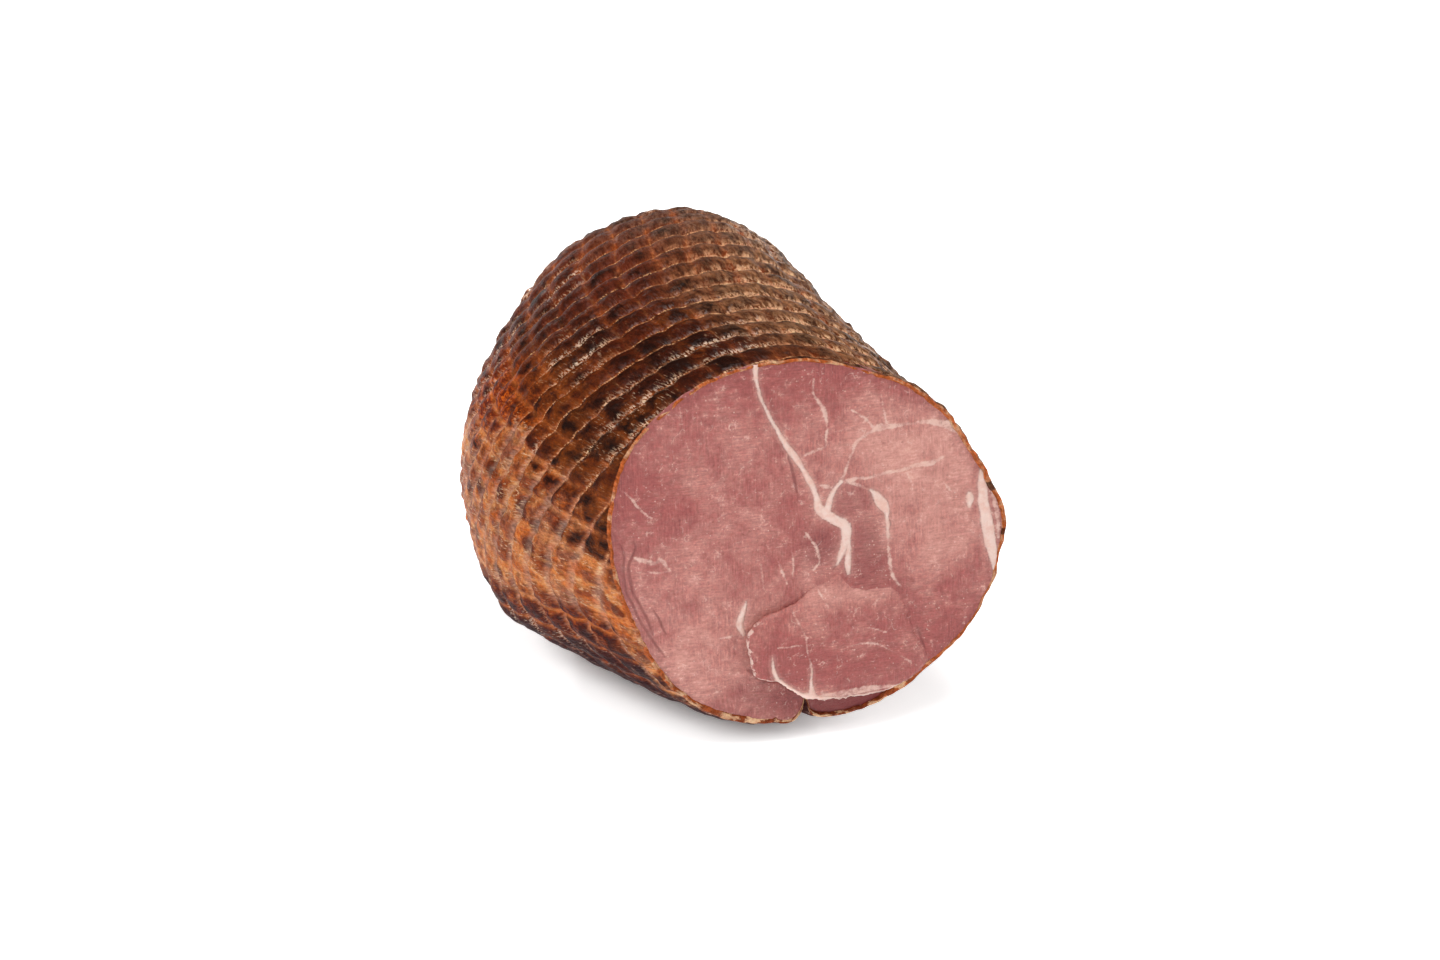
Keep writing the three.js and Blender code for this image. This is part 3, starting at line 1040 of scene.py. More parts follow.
@dataclass
class FacePiece(MeatSide):
    """The cut face: a plug of pink meat inside the rim."""

    rim: Rim = Rim()
    crown: float = 0.8
    lift: float = 0.2
    edge_drop: float = 0.35
    lobe_depth: float = 0.9
    hollow_depth: float = 0.5
    hollows_below: float = -20.0
    depths: tuple[float, float] = (-2.2, -4.0)

    def tones(self, u: Array, v: Array) -> Values:
        """Where the meat is darker or paler.

        Args:
            u: Places across the face.
            v: Places up the face.

        Returns:
            Shares for the pale meat, the darker patches with their painted shade, and the glossy
            lobe under the small muscle.
        """
        plane = flat(u, v)
        fray_u = u + 2.0 * Grain(84).rough(plane, 9.0)
        fray_v = v + 2.0 * Grain(85).rough(plane, 9.0)
        lobe = smoothstep(-51.5, -53.5, fray_v)
        lobe = lobe * smoothstep(-1.5, 0.5, u) * smoothstep(34, 28, u)
        pale = 0.33 + sum(shade.over(fray_u, fray_v) for shade in FACE_SHADES)
        dark = np.maximum.reduce([hole.over(fray_u, fray_v, 3.5) for hole in FACE_DARK_AND_SHADE])
        return {"dark": dark * (1 - lobe), "lobe": lobe, "pale": pale}

    def build(self) -> bpy.types.Object:
        """Builds the cut face.

        Returns:
            Its object.
        """
        far, angle = self.slab.grid()
        radius = self.rim.meat_radius(self.form, angle)
        u, v = self.slab.spread(far * radius, angle)
        found = self.read_lines(FACE_LINES, u, v) | self.tones(u, v)
        found["rim_gap"] = (1 - far) * radius
        height = self.crown * (1 - far**2) + self.relief(u, v, found)
        edge = 1 - smoothstep(0, 0.8, found["rim_gap"])
        height = height - self.edge_drop * edge + self.lift - self.lobe_depth * found["lobe"]
        height = height - self.hollow_depth * found["dark"] * (v < self.hollows_below)
        rim = self.slab.rim()
        walls = [self.form.on_face(u[rim], v[rim], depth) for depth in self.depths]
        return self.close("cut_face", u, v, height, walls, found)

    def dress(self, piece: bpy.types.Object) -> None:
        """Gives the face its material."""
        piece.data.materials.append(MeatFinish("cut_meat").material())


@dataclass
class FlapPiece(MeatSide):
    """The small muscle at the bottom of the face, free on its left and lower edges.

    A wall is given as how far it is set in and its share of the edge's height.
    """

    slab: Slab = Slab(150, (9.0, -36.0))
    rise: float = 4.6
    low: float = 0.9
    free: tuple[float, float] = (-19.0, -48.0)
    span: float = 52.0
    puff: float = 0.5
    edge_drop: float = 0.7
    ragged: float = 0.9
    ragged_radius: float = 30.0
    walls: Rows = ((0.1, 0.55), (0.9, 0.25), (2.4, -0.15))
    root: float = 5.0

    def outline(self, angle: Array) -> Array:
        """Distance from the centre to the edge.

        Args:
            angle: Directions from the centre, in radians.

        Returns:
            Distances in mm.
        """
        edge = curve((*FLAP_EDGE, FLAP_EDGE[0]), 6)
        u, v = edge[:, 0] - self.slab.centre[0], edge[:, 1] - self.slab.centre[1]
        turn, far = np.arctan2(v, u) % TAU, np.hypot(u, v)
        order = np.argsort(turn)
        smooth = np.interp(angle % TAU, turn[order], far[order], period=TAU)
        return smooth + self.ragged * Grain(91).rough(hoop(angle, self.ragged_radius), 2.6, 3)

    def height(self, u: Array, v: Array) -> Array:
        """Height in mm of the top over the face, most at the free corner."""
        far = np.hypot(u - self.free[0], v - self.free[1]) / self.span
        return self.low + (self.rise - self.low) * (1 - smoothstep(0.2, 1, far))

    def build(self) -> bpy.types.Object:
        """Builds the small muscle.

        Returns:
            Its object.
        """
        far, angle = self.slab.grid()
        radius = self.outline(angle)
        u, v = self.slab.spread(far * radius, angle)
        inside = (1 - far) * radius
        found = self.read_lines(FLAP_LINES, u, v)
        height = self.height(u, v) + self.relief(u, v, found)
        height = height + self.puff * smoothstep(0, 9, inside)
        height = height - self.edge_drop * (1 - smoothstep(0, 1.3, inside))
        left = smoothstep(-22, -28, v) * smoothstep(2, -8, u)
        torn = np.maximum(left, smoothstep(-49, -53, v))
        found["edge"] = torn * (1 - smoothstep(0.1, 1.1, inside))
        found["pale"] = 0.2 + sum(shade.over(u, v) for shade in FLAP_SHADES)
        found["dark"] = found["lobe"] = np.zeros_like(u)
        found["rim_gap"] = inside + 6
        rim = self.slab.rim()
        low_edges = [(inset, height[rim] * level) for inset, level in self.walls]
        low_edges.append((self.walls[-1][0], -self.root))
        walls = []
        for inset, depth in low_edges:
            wall = self.slab.spread(radius[rim] - inset, angle[rim])
            walls.append(self.form.on_face(*wall, depth))
        return self.close("small_muscle", u, v, height, walls, found)

    def dress(self, piece: bpy.types.Object) -> None:
        """Gives the small muscle its material."""
        piece.data.materials.append(MeatFinish("small_muscle_meat", edge=True).material())


# ---------------------------------------------------------------- shader maths

def paint(*parts: int) -> Colour:
    """A screen colour, red, green and blue from 0 to 255, as light with alpha 1."""
    shares = [part / 255 for part in parts]
    return (*[p / 12.92 if p <= 0.04045 else ((p + 0.055) / 1.055) ** 2.4 for p in shares], 1.0)


class Sock:
    """A node socket that can be used in sums: each operator adds a Math node."""

    def __init__(self, graph: "Graph", socket: bpy.types.NodeSocket | None) -> None:
        """Wraps a socket of a graph."""
        self.graph = graph
        self.socket = socket

    def _math(self, operation: str, *parts: "Sock | float") -> "Sock":
        """The result of a Math node with these values or links."""
        return self.graph.node("ShaderNodeMath", {"operation": operation}, dict(enumerate(parts)))

    def __add__(self, other: "Sock | float") -> "Sock":
        """self + other."""
        return self._math("ADD", self, other)

    __radd__ = __add__

    def __mul__(self, other: "Sock | float") -> "Sock":
        """self * other."""
        return self._math("MULTIPLY", self, other)

    __rmul__ = __mul__

    def __sub__(self, other: "Sock | float") -> "Sock":
        """self - other."""
        return self._math("SUBTRACT", self, other)

    def __rsub__(self, other: "Sock | float") -> "Sock":
        """other - self."""
        return self._math("SUBTRACT", other, self)

    def most(self, other: "Sock | float") -> "Sock":
        """The larger of two values."""
        return self._math("MAXIMUM", self, other)

    def size(self) -> "Sock":
        """The value without its sign."""
        return self._math("ABSOLUTE", self)

    def rise(self, low: float, high: float) -> "Sock":
        """Rises smoothly from 0 to 1, or falls where high is below low.

        Args:
            low: Where the rise starts.
            high: Where it ends.

        Returns:
            The share, 0 to 1.
        """
        settings = {"interpolation_type": "SMOOTHSTEP"}
        inputs = {0: self, 1: min(low, high), 2: max(low, high), 3: 0.0, 4: 1.0}
        share = self.graph.node("ShaderNodeMapRange", settings, inputs)
        return 1 - share if high < low else share


class Graph:
    """A material's node tree and the ways to add nodes to it."""

    def __init__(self, name: str) -> None:
        """Starts an empty material.

        Args:
            name: Name of the material.
        """
        self.material = bpy.data.materials.new(name)
        self.material.use_nodes = True
        self.tree = self.material.node_tree
        self.tree.nodes.clear()

    def node(self, kind: str, settings: dict[str, object],
             inputs: dict[int | str, Sock | float | Colour], output: int | str = 0) -> Sock:
        """Adds any node.

        Args:
            kind: Type of the node.
            settings: Its settings, which are set first.
            inputs: Values or links of its sockets.
            output: The socket that is given back.

        Returns:
            That socket, or none where the node has no outputs.
        """
        node = self.tree.nodes.new(kind)
        for key, value in settings.items():
            setattr(node, key, value)
        for key, value in inputs.items():
            if isinstance(value, Sock):
                self.tree.links.new(value.socket, node.inputs[key])
            else:
                node.inputs[key].default_value = value
        return Sock(self, node.outputs[output] if node.outputs else None)

    def value(self, name: str) -> Sock:
        """A value that is stored on the mesh's points."""
        return self.node("ShaderNodeAttribute", {"attribute_name": name}, {}, "Fac")

    def zones(self, *zones: Zone) -> tuple[Sock, ...]:
        """The shares of some zones of the crust."""
        return tuple(self.value(zone.value) for zone in zones)

    def gap(self, name: str, pitch: float) -> Sock:
        """Signed distance in mm to the nearest ring or strand; pitch is their spacing."""
        parts = {0: self.value(f"{name}_sin"), 1: self.value(f"{name}_cos")}
        return self.node("ShaderNodeMath", {"operation": "ARCTAN2"}, parts) * (pitch / TAU)

    def place(self, name: str) -> Sock:
        """A place that is stored on the mesh's points."""
        return self.node("ShaderNodeAttribute", {"attribute_name": name}, {}, "Vector")

    def stretch(self, at: Sock, sizes: Sizes) -> Sock:
        """Divides a place by one size, or by a size in each direction."""
        wide = sizes if isinstance(sizes, tuple) else (sizes,) * 3
        return self.node("ShaderNodeVectorMath", {"operation": "DIVIDE"}, {0: at, 1: wide})

    def noise(self, at: Sock, sizes: Sizes, detail: float = 3.0,
              roughness: float = 0.55) -> Sock:
        """Noise texture.

        Args:
            at: The place in mm.
            sizes: Size of its features in mm, in each direction where there are three.
            detail: Number of finer layers.
            roughness: How strong they are.

        Returns:
            Values around 0.5.
        """
        inputs = {"Vector": self.stretch(at, sizes), "Scale": 1.0, "Detail": detail,
                  "Roughness": roughness}
        return self.node("ShaderNodeTexNoise", {}, inputs, 0)

    def cells(self, at: Sock, size: float) -> Sock:
        """Distance to the nearest of many scattered points, in units of their spacing."""
        inputs = {"Vector": self.stretch(at, size), "Scale": 1.0}
        return self.node("ShaderNodeTexVoronoi", {"feature": "F1"}, inputs, "Distance")

    def mix(self, share: Sock | float, first: Sock | Colour, second: Sock | Colour,
            blend_type: str = "MIX") -> Sock:
        """Mixes two colours, where share is how much of the second, 0 to 1."""
        settings = {"data_type": "RGBA", "blend_type": blend_type, "clamp_factor": True}
        return self.node("ShaderNodeMix", settings, {0: share, 6: first, 7: second}, 2)

    def layers(self, colour: Sock, *layers: tuple[Sock, Sock | Colour]) -> Sock:
        """Lays colours over a colour, one after another.

        Args:
            colour: The lowest colour.
            *layers: The share of each layer and its colour.

        Returns:
            The colour that shows.
        """
        for share, over in layers:
            colour = self.mix(share, colour, over)
        return colour

    def grey(self, value: Sock, low: float, high: float) -> Sock:
        """A noise around 0.5 as a grey from low to high, for an overlay."""
        return self.mix(value.rise(0.3, 0.7), (low, low, low, 1.0), (high, high, high, 1.0))

    def finish(self, colour: Sock, roughness: Sock, height: Sock, coat: Sock,
               constants: dict[str, object]) -> bpy.types.Material:
        """Adds the shader and the output.

        Args:
            colour: Base colour.
            roughness: Roughness.
            height: Relief in mm, for the bump.
            coat: Weight of the wet coat.
            constants: Values of the shader's other sockets.

        Returns:
            The material.
        """
        bump = self.node("ShaderNodeBump", {}, {"Strength": 1.0, "Distance": MM, "Height": height})
        return self.end({"Base Color": colour, "Roughness": roughness, "Coat Weight": coat,
                         "Normal": bump, **constants})

    def end(self, inputs: dict[str, object]) -> bpy.types.Material:
        """Ends the tree in a shader and the output.

        Args:
            inputs: Values or links of the shader's sockets.

        Returns:
            The material.
        """
        shader = self.node("ShaderNodeBsdfPrincipled", {}, inputs)
        self.node("ShaderNodeOutputMaterial", {}, {"Surface": shader})
        return self.material


# ---------------------------------------------------------------- finishes

class CrustMaps:
    """What the colours of the crust share: noises and distances to the net's lines."""

    ring_pitch: float = 10.0
    strand_pitch: float = 11.0

    def __init__(self, g: Graph, at: Sock) -> None:
        """Adds the shared nodes.

        Args:
            g: The graph.
            at: The place on the crust, in mm.
        """
        self.g, self.at = g, at
        self.cloud = g.noise(at, 16.0, 3.0, 0.5)
        self.mottle = g.noise(at, 5.0, 4.0, 0.58)
        self.fine = g.noise(at, 1.6, 4.0, 0.7)
        self.dots = g.noise(at, (0.9, 0.55, 0.55), 2.0, 0.6)
        self.crumbs = g.noise(at, (1.6, 1.4, 1.6), 3.0, 0.7)
        # Streaks for painted glints.
        self.strokes = g.noise(at, (2.8, 0.6, 0.6), 2.0, 0.6)
        fray, jitter = self.mottle - 0.5, self.fine - 0.5
        self.side = g.gap("ring", self.ring_pitch) + jitter * 0.6 + fray * 1.2
        self.ring = self.side.size()
        strand_gap = g.gap("strand", self.strand_pitch).size()
        self.strand = strand_gap + fray * 3.5 + jitter * 1.2
        inner = self.strand.rise(0.6, 3.0).most(g.value("dark") * 0.65)
        self.cell = self.ring.rise(0.5, 2.6) * inner
        self.knot = 0.3 + 0.7 * self.ring.rise(3.6, 0.6)
        self.near = (self.ring.rise(1.4, 0.2) * 0.6).most(self.strand.rise(2.0, 0.2) * self.knot)
        # Pale granules along the silhouettes, where a sheen is also painted.
        uneven = self.cloud.rise(0.42, 0.58) * (0.3 + 0.7 * self.mottle.rise(0.4, 0.56))
        self.frost_and_sheen = g.value("frost_and_sheen") * uneven


@dataclass(frozen=True)
class CrustFinish:
    """Smoked crust: brown puffed cells between pale lines, orange where fat lies under it; glints,
    a sheen along the silhouettes and shade beside the rings are painted.
    """

    name: str = "smoked_crust"
    deep: Colour = paint(36, 10, 2)
    brown: Colour = paint(90, 32, 8)
    # Darkest: dark cells and charred bits, and the painted shade beside the rings.
    darkest: Colour = paint(30, 8, 2)
    gold: Colour = paint(134, 64, 16)
    ember: Colour = paint(120, 36, 8)
    olive: Colour = paint(152, 102, 66)
    purple: Colour = paint(52, 18, 24)
    grey: Colour = paint(126, 94, 76)
    red: Colour = paint(106, 42, 20)
    halo: Colour = paint(152, 64, 22)
    strand: Colour = paint(190, 106, 54)
    ring: Colour = paint(224, 166, 118)
    orange: Colour = paint(208, 102, 34)
    tan: Colour = paint(216, 142, 84)
    glow: Colour = paint(216, 118, 50)
    amber: Colour = paint(206, 92, 18)
    dry: Colour = paint(238, 186, 144)
    wash: Colour = paint(140, 60, 26)
    dusk: Colour = paint(160, 108, 86)
    mauve: Colour = paint(196, 156, 136)
    spot: Colour = paint(100, 38, 12)
    rim: Colour = paint(184, 92, 44)
    # Cream: the cut edge's pale fat, and painted glints over the fat.
    cream: Colour = paint(224, 182, 142)
    # Painted sheen: the grazing reflection along the silhouettes.
    sheen: Colour = paint(204, 180, 164)
    # The colour of painted glints.
    white: Colour = paint(246, 222, 196)

    def material(self) -> bpy.types.Material:
        """Builds the material.

        Returns:
            The material.
        """
        g = Graph(self.name)
        at = g.place("grain_at")
        m = CrustMaps(g, at)
        wrinkle = g.noise(at, (4.5, 1.0, 1.0), 3.0, 0.65)
        dark, ember, purple, olive, wet_and_glints, gold, fat = g.zones(
            Zone.DARK, Zone.EMBER, Zone.PURPLE, Zone.OLIVE, Zone.WET_AND_GLINTS, Zone.GOLD, Zone.FAT)
        lean = self._dried(m, self._beads(m, self._lines(m, self._lean(m))))
        colour = g.mix(self._fat_share(m), lean, self._fat(m))
        # A painted sheen along the silhouettes.
        colour = g.mix(m.frost_and_sheen * m.crumbs.rise(0.5, 0.6) * 0.55, colour, self.sheen)
        colour = self._border(m, colour)
        for share, value, low, high in ((0.75, m.fine, 0.24, 0.72), (0.35, m.dots, 0.3, 0.7),
                                        (0.45, wrinkle, 0.33, 0.67)):
            colour = g.mix(share, colour, g.grey(value, low, high), "OVERLAY")
        roughness = 0.48 + 0.15 * g.value("grey") + (m.fine - 0.5) * 0.5
        crisp = m.ring.rise(1.8, 0.3) * 0.6 + wet_and_glints * 0.6 + 0.2
        height = wrinkle * (0.9 + 0.6 * fat) + m.fine * (0.6 + 0.7 * fat + 0.5 * ember)
        height = height + m.mottle * 0.8 + m.dots * crisp * 0.5
        shine = dark * 0.25 + ember * 0.3 + gold * 0.2 + purple * 0.1 + wet_and_glints * 0.35 + 0.1
        coat = shine * (m.ring.rise(2.4, 0.4) * 0.85 + 0.15)
        coat = (coat + fat * 0.15 + olive * 0.3 + m.frost_and_sheen * 0.3) * m.dots.rise(0.48, 0.55)
        constants = {"IOR": 1.42, "Specular IOR Level": 0.07, "Coat Roughness": 0.07,
                     "Subsurface Weight": 0.05, "Subsurface Radius": (0.004, 0.0015, 0.0008),
                     "Subsurface Scale": 1.0}
        return g.finish(colour, roughness, height, coat, constants)

    def _lean(self, m: CrustMaps) -> Sock:
        """Colour of the cells where meat lies under the crust, with painted shade beside each
        ring.

        Args:
            m: The shared maps.

        Returns:
            The colour.
        """
        g, mottle = m.g, m.mottle
        red, gold, ember, olive, grey, purple, dark = g.zones(
            Zone.RED, Zone.GOLD, Zone.EMBER, Zone.OLIVE, Zone.GREY, Zone.PURPLE, Zone.DARK)
        body = (mottle * 0.75 + g.value("tone") * 0.25).rise(0.32, 0.66)
        # Painted shade on the rim's side of each ring.
        painted_groove_shade = m.side.rise(-3.6, -1.5) * m.side.rise(-0.1, -0.9)
        return g.layers(
            g.mix(body, self.deep, self.brown),
            (m.cloud.rise(0.48, 0.6) * mottle.rise(0.42, 0.6) * 0.7, self.gold),
            (red * mottle.rise(0.3, 0.6) * 0.75, self.red),
            (gold * mottle.rise(0.35, 0.58) * 0.8, self.gold),
            (ember * mottle.rise(0.3, 0.52) * 0.85, self.ember),
            (olive * (mottle.rise(0.4, 0.6) * 0.55 + 0.2), self.olive),
            (grey * (m.fine.rise(0.35, 0.65) * 0.6 + 0.15), self.grey),
            (purple * (0.9 - 0.3 * mottle.rise(0.5, 0.65)), self.purple),
            ((m.cell * (0.2 + 0.25 * dark)).most(painted_groove_shade * 0.6), self.darkest),
            (m.near * m.cloud.rise(0.3, 0.65) * (0.8 - 0.45 * dark), self.halo))

    def _lines(self, m: CrustMaps, lean: Sock) -> Sock:
        """Lays the net's lines and the amber granules over the lean cells.

        Args:
            m: The shared maps.
            lean: Colour of the cells.

        Returns:
            The colour.
        """
        g, mottle, ring, strand = m.g, m.mottle, m.ring, m.strand
        dark, ember, purple, olive = g.zones(Zone.DARK, Zone.EMBER, Zone.PURPLE, Zone.OLIVE)
        dash = g.noise(m.at, (1.5, 0.9, 0.9), 1.0).rise(0.42, 0.54)
        thin = ring.rise(0.8, 0.2).most(strand.rise(0.8, 0.1)) * (0.35 + 0.65 * mottle)
        web = ring.rise(1.5, 0.3).most(strand.rise(1.7, 0.2)) * mottle.rise(0.34, 0.56)
        embers = ember * (1.0 - purple) * m.crumbs.rise(0.44, 0.58) * mottle.rise(0.42, 0.58)
        worn = mottle.rise(0.42, 0.6) * (0.8 - 0.7 * dark - 0.4 * olive) * m.knot
        line = ring.rise(0.8, 0.25) * dash * (0.3 + 0.7 * mottle.rise(0.4, 0.58))
        return g.layers(
            lean,
            ((thin * 0.85).most(web * 0.6) * ember, self.glow),
            (embers * 0.85, self.amber),
            (ring.rise(0.9, 0.2) * purple * (0.2 + 0.6 * mottle), self.mauve),
            (strand.rise(0.8, 0.1) * worn, self.strand),
            (line * (0.42 + 0.45 * olive), g.mix(olive, self.strand, self.dry)))

    def _beads(self, m: CrustMaps, lean: Sock) -> Sock:
        """Lays pale dots along the rings, partly painted glints, and painted glint streaks over
        the lean cells.

        Args:
            m: The shared maps.
            lean: Colour so far.

        Returns:
            The colour.
        """
        g = m.g
        dark, ember, purple, wet_and_glints, gold = g.zones(
            Zone.DARK, Zone.EMBER, Zone.PURPLE, Zone.WET_AND_GLINTS, Zone.GOLD)
        # The net's pale line colour, turned into painted glints where the crust is glossy.
        thread_and_glint = g.mix(ember, g.mix(purple, self.ring, self.mauve), self.glow)
        thread_and_glint = g.mix(wet_and_glints * 0.6, thread_and_glint, self.white)
        patchy = g.noise(m.at, (7.0, 4.0, 4.0), 2.0).rise(0.36, 0.58)
        speck = m.dots.rise(0.48, 0.55) * (0.2 + 0.8 * patchy)
        # Pale dots along the rings, and a wider band in glossy places; partly painted glints.
        pale_beads_and_glints = m.ring.rise(0.5, 0.2).most(m.ring.rise(2.1, 0.7) * wet_and_glints * 0.75)
        # Where painted glint streaks go.
        painted_glint_share = (ember * 0.3 + gold * 0.1 + 0.05 * dark + 0.3 * wet_and_glints).most(purple * 0.4)
        strokes = m.strokes.rise(0.59, 0.64) * painted_glint_share * m.mottle.rise(0.5, 0.57)
        return g.layers(lean, (pale_beads_and_glints * speck * 0.95, thread_and_glint), (strokes, thread_and_glint))

    def _dried(self, m: CrustMaps, lean: Sock) -> Sock:
        """Lays the dry granules and the pits between them over the lean cells; along the
        silhouettes the pale granules are partly a painted sheen.

        Args:
            m: The shared maps.
            lean: Colour so far.

        Returns:
            The colour.
        """
        dark, olive = m.g.zones(Zone.DARK, Zone.OLIVE)
        banks = m.ring.rise(3.0, 0.6) * 0.8 * m.mottle.rise(0.36, 0.56) + 0.12
        crust = (m.near * 0.3 * (1.0 - dark * 0.6)).most(banks * olive).most(m.frost_and_sheen * 0.7)
        pale = olive.most(m.frost_and_sheen)
        return m.g.layers(
            lean,
            (m.crumbs.rise(0.44, 0.56) * crust, m.g.mix(pale, self.strand, self.dry)),
            (m.crumbs.rise(0.48, 0.38) * pale * 0.35, self.deep))

    def _border(self, m: CrustMaps, colour: Sock) -> Sock:
        """Lays the cut edge of the crust and its charred bits over the rest.

        Args:
            m: The shared maps.
            colour: Colour so far.

        Returns:
            The colour.
        """
        g, mottle = m.g, m.mottle
        purple, fat, char = g.zones(Zone.PURPLE, Zone.FAT, Zone.CHAR)
        edge = (g.value("rim") + (mottle - 0.5) * 0.6).rise(0.45, 0.7)
        under_purple = g.mix(mottle.rise(0.5, 0.56), self.red, self.cream)
        border = g.mix(mottle.rise(0.46, 0.66) * 0.75, self.rim, self.cream)
        border = g.mix(purple * (0.8 - 0.7 * fat), border, under_purple)
        charred = (char + (m.fine - 0.5) * 1.5).rise(0.5, 0.8) * 0.8
        return g.layers(colour, (edge * 0.9, border), (charred, self.darkest))

    def _fat(self, m: CrustMaps) -> Sock:
        """Colour of the crust over fat.

        Args:
            m: The shared maps.

        Returns:
            The colour.
        """
        g, at, mottle = m.g, m.at, m.mottle
        spots = g.value("spot") + (m.fine - 0.5) * 0.8 + (mottle - 0.5) * 1.2
        # Painted glints over the fat.
        glints = m.strokes.rise(0.57, 0.62) * (0.15 + 0.85 * mottle.rise(0.47, 0.56))
        return g.layers(
            g.mix(mottle.rise(0.36, 0.6), self.orange, self.tan),
            (g.noise(at, 11.0, 2.0).rise(0.52, 0.66) * 0.5, self.glow),
            (g.noise(at, 9.0, 3.0, 0.6).rise(0.44, 0.58) * 0.9, self.wash),
            (g.noise(at, 12.0, 3.0, 0.6).rise(0.5, 0.62) * 0.45, self.dusk),
            (m.cell * (g.value("tone") - 0.35).rise(0, 0.6) * 0.4, self.wash),
            (spots.rise(0.2, 0.45) * 0.6, self.wash),
            (spots.rise(0.45, 0.7) * 0.9, self.spot),
            (m.strand.rise(1.4, 0.1) * 0.4, self.tan),
            (m.ring.rise(2.4, 0.4) * (0.1 + 0.45 * mottle), self.mauve),
            (glints * 0.7, self.cream))

    @staticmethod
    def _fat_share(m: CrustMaps) -> Sock:
        """Where fat lies under the crust; along the net's lines it shows first.

        Args:
            m: The shared maps.

        Returns:
            The share, 0 to 1.
        """
        fat, purple = m.g.zones(Zone.FAT, Zone.PURPLE)
        lines = m.ring.rise(1.4, 0.2).most(m.strand.rise(1.8, 0.2))
        loose = fat + lines * 0.3 + (m.mottle - 0.5) * 1.1 - purple * 0.5
        return (loose - 0.1).rise(0.15, 0.85)


@dataclass(frozen=True)
class MeatFinish:
    """Cut cured meat: dusty pink with fine fibres, pale flecks and white seams."""

    name: str
    edge: bool = False
    rose: Colour = paint(158, 80, 76)
    blush: Colour = paint(214, 154, 141)
    deep: Colour = paint(136, 66, 64)
    fleck: Colour = paint(230, 184, 168)
    fat: Colour = paint(238, 208, 196)
    silver: Colour = paint(230, 192, 178)
    # Crease: painted shade in the creases.
    crease: Colour = paint(128, 66, 64)
    lobe: Colour = paint(118, 24, 26)

    def material(self) -> bpy.types.Material:
        """Builds the material.

        Returns:
            The material.
        """
        g = Graph(self.name)
        at = g.place("face_at")
        dark, pale, lobe, rim_gap = (g.value(k) for k in ("dark", "pale", "lobe", "rim_gap"))
        cloud = g.noise(at, 15.0, 4.0, 0.6)
        mottle = g.noise(at, 3.0, 5.0, 0.68)
        grain = g.noise(at, 0.9, 4.0, 0.7)
        upright = g.noise(at, (0.5, 5.0, 1.0), 3.0, 0.65)
        slanted = g.noise(at, (4.0, 0.6, 1.0), 3.0, 0.65)
        fray = mottle - 0.5
        light = pale + (cloud - 0.5) * 1.5 + fray * 0.8
        flecks = (grain * 0.5 + mottle * 0.5).rise(0.56, 0.64) * cloud.rise(0.36, 0.6)
        pits = (g.noise(at, 1.4, 3.0, 0.7) * 0.7 + mottle * 0.3).rise(0.42, 0.32)
        colour = g.layers(
            g.mix(light.rise(-0.15, 1.15), self.rose, self.blush),
            ((rim_gap + fray * 6.0).rise(5.0, 0.2) * 0.35, self.deep),
            # The dark patches: darker meat, with painted shade in the hollows and painted shadow
            # under the small muscle's edges.
            (dark * 0.75, self.deep),
            (flecks * 0.35, self.fleck),
            (pits * 0.35, self.deep),
            (upright.rise(0.6, 0.76) * mottle.rise(0.45, 0.6) * 0.35, self.fleck))
        fibre = g.mix(cloud.rise(0.42, 0.58), *[g.grey(n, 0.36, 0.64) for n in (upright, slanted)])
        colour = g.mix(0.6, colour, fibre, "OVERLAY")
        colour = g.mix(0.45, colour, g.grey(grain, 0.34, 0.68), "OVERLAY")
        specks = g.cells(at, 2.4).rise(0.13, 0.07) * cloud.rise(0.42, 0.6)
        vein = (g.noise(at, 8.0, 2.5) - 0.5).size().rise(0.011, 0.002) * mottle.rise(0.52, 0.6)
        colour = g.layers(colour, (specks * 0.65, self.silver), (vein * 0.35, self.silver),
                          (lobe * 0.85, self.lobe))
        wander = fray * 1.3 + (grain - 0.5) * 0.8
        colour, silver, fat = self._seams(g, colour, mottle, wander)
        roughness = 0.5 - 0.14 * fat + (grain - 0.5) * 0.4 - 0.15 * lobe
        height = grain * 0.4 + mottle * 0.6 + upright * 0.25 + slanted * 0.16 + fat * 0.2
        height = height - pits * 0.12 + silver * 0.08 + specks * 0.1
        constants = {"IOR": 1.4, "Coat Roughness": 0.25, "Subsurface Weight": 0.1,
                     "Subsurface Radius": (0.005, 0.0018, 0.0012), "Subsurface Scale": 1.0}
        coat = 0.12 + 0.1 * lobe + 0.3 * fat + mottle.rise(0.52, 0.66) * 0.25
        return g.finish(colour, roughness, height, coat, constants)

    def _seams(self, g: Graph, colour: Sock, mottle: Sock, wander: Sock) -> tuple[Sock, ...]:
        """Lays creases, darkened as painted shade, thin seams and fat over the meat.

        Args:
            g: The graph.
            colour: Colour of the meat.
            mottle: Middling noise.
            wander: Noise in mm that frays the seams.

        Returns:
            The colour, the share of thin seams and the share of fat.
        """
        fat_in, silver_in, crease_in = (g.value(kind.value) for kind in Kind)
        silver = (silver_in + wander).rise(-0.4, 0.3) * (0.35 + 0.65 * mottle.rise(0.38, 0.6))
        fat = (fat_in + wander * 0.9).rise(-0.3, 0.3)
        colour = g.layers(
            colour,
            # Painted shade in the creases.
            ((crease_in + wander * 0.5).rise(-0.4, 0.1) * 0.6, self.crease),
            (silver * 0.8, self.silver),
            ((fat_in + wander).rise(-1.6, 0.0) * 0.2, self.silver),
            (fat * 0.9, g.mix(mottle.rise(0.4, 0.66), self.fat, self.fleck)))
        if self.edge:
            torn = (g.value("edge") + wander * 1.2).rise(0.3, 0.7) * mottle.rise(0.38, 0.5)
            colour = g.mix(torn * 0.75, colour, self.fat)
        return colour, silver, fat


# ---------------------------------------------------------------- studio

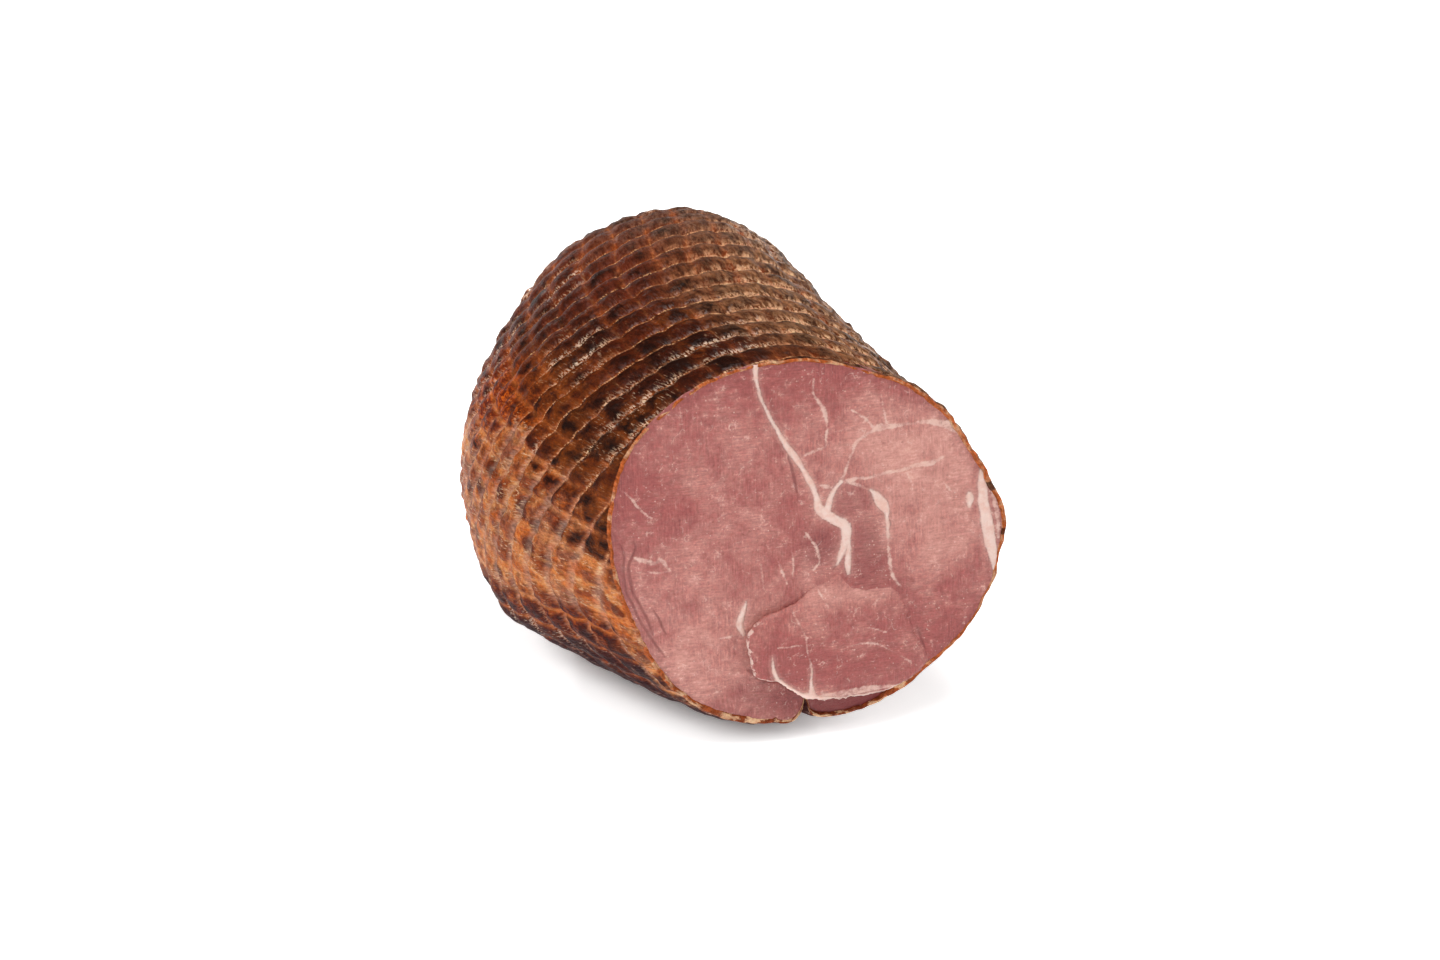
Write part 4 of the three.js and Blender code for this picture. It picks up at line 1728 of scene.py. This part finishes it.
@dataclass(frozen=True)
class Softbox:
    """A square studio light that looks at the roast; its distance and size are in metres."""

    name: str
    azimuth: float
    elevation: float
    distance: float
    size: float
    power: float

    def place(self, target: Vector) -> None:
        """Puts the light up.

        Args:
            target: The point that it looks at, in metres.
        """
        data = bpy.data.lights.new(self.name, "AREA")
        data.size = self.size
        data.energy = self.power
        light = bpy.data.objects.new(self.name, data)
        away = Vector(outlook(self.azimuth, self.elevation))
        light.location = target + away * self.distance
        light.rotation_euler = away.to_track_quat("Z", "Y").to_euler()
        bpy.context.scene.collection.objects.link(light)


@dataclass(frozen=True)
class Studio:
    """Floor, light and camera; the floor's side and its contact shadow are in metres."""

    azimuth: float = -29.84
    elevation: float = 34.0
    lens: float = 85.0
    sensor: float = 36.0
    distance: float = 1125.8
    target_aside: float = 10.6
    target_height: float = 58.6
    target_along: float = 69.1
    floor_side: float = 8.0
    floor_white: Colour = (0.96, 0.96, 0.96, 1.0)
    floor_glow: float = 0.6
    contact_reach: float = 0.0135
    contact_clear: float = 0.66
    contact_dark: Colour = (0.02, 0.02, 0.02, 1.0)
    white: Colour = (1.0, 1.0, 1.0, 1.0)
    sky: float = 0.22
    boxes: tuple[Softbox, ...] = (
        Softbox("key", -75, 45, 1.3, 0.6, 3.6),
        Softbox("front", -10, 45, 1.6, 0.8, 3.7),
        Softbox("fill", 62, 35, 1.4, 0.7, 2.4),
        Softbox("back", 178, 14, 1.5, 0.14, 7),
        Softbox("left", -135, 20, 1.4, 0.3, 2.6),
        Softbox("top", -20, 84, 1.4, 0.8, 12),
    )

    def floor(self) -> None:
        """Lays the pale floor, whose glow is dimmed close under the roast: a painted contact
        shadow.
        """
        half = self.floor_side / 2
        mesh = bpy.data.meshes.new("floor")
        corners = [(-half, -half, 0), (half, -half, 0), (half, half, 0), (-half, half, 0)]
        mesh.from_pydata(corners, [], [(0, 1, 2, 3)])
        floor = bpy.data.objects.new("floor", mesh)
        bpy.context.scene.collection.objects.link(floor)
        g = Graph("pale_floor")
        grain = g.noise(g.node("ShaderNodeTexCoord", {}, {}, "Object"), 0.4, 2.0)
        reach = {"Distance": self.contact_reach}
        # Ambient occlusion dims the glow close under the roast: a painted contact shadow.
        near = g.node("ShaderNodeAmbientOcclusion", {"samples": 12}, reach, "AO")
        shown = g.mix(near.rise(0.0, self.contact_clear), self.contact_dark, self.white)
        inputs = {"Base Color": self.floor_white, "Specular IOR Level": 0.2,
                  "Roughness": 0.6 + grain * 0.1, "Emission Color": shown,
                  "Emission Strength": self.floor_glow}
        mesh.materials.append(g.end(inputs))

    def light(self) -> None:
        """Puts up the sky and the softboxes."""
        world = bpy.data.worlds.new("studio")
        world.use_nodes = True
        background = world.node_tree.nodes["Background"]
        background.inputs["Color"].default_value = self.white
        background.inputs["Strength"].default_value = self.sky
        bpy.context.scene.world = world
        low, high = CAD_BOX
        for box in self.boxes:
            box.place((low + high) / 2)

    def camera(self, form: RoastForm) -> None:
        """Sets the camera up at the photograph's angle.

        Args:
            form: The form, which knows the frame's origin.
        """
        away = outlook(self.azimuth, self.elevation)
        turn = math.radians(self.azimuth)
        right = np.array([math.cos(turn), math.sin(turn), 0.0])
        target = np.array([0.0, self.target_along, self.target_height])
        target = target + right * self.target_aside
        data = bpy.data.cameras.new("camera")
        data.lens = self.lens
        data.sensor_width = self.sensor
        camera = bpy.data.objects.new("camera", data)
        camera.location = Vector(form.to_frame(target + away * self.distance))
        camera.rotation_mode = "QUATERNION"
        camera.rotation_quaternion = (-Vector(away)).to_track_quat("-Z", "Y")
        bpy.context.scene.collection.objects.link(camera)
        bpy.context.scene.camera = camera
        bpy.context.scene.view_settings.view_transform = "Standard"


def main() -> None:
    """Builds the pieces in order."""
    logging.basicConfig(level=logging.INFO, format="%(name)s %(message)s")
    form, net, rim = RoastForm(), NetImprint(), Rim()
    studio = Studio()
    studio.camera(form)
    studio.floor()
    studio.light()
    for piece in (CrustPiece(form, net, rim), FacePiece(form, rim=rim), FlapPiece(form)):
        piece.dress(piece.build())
    LOG.info("done")


if __name__ == "__main__":
    main()
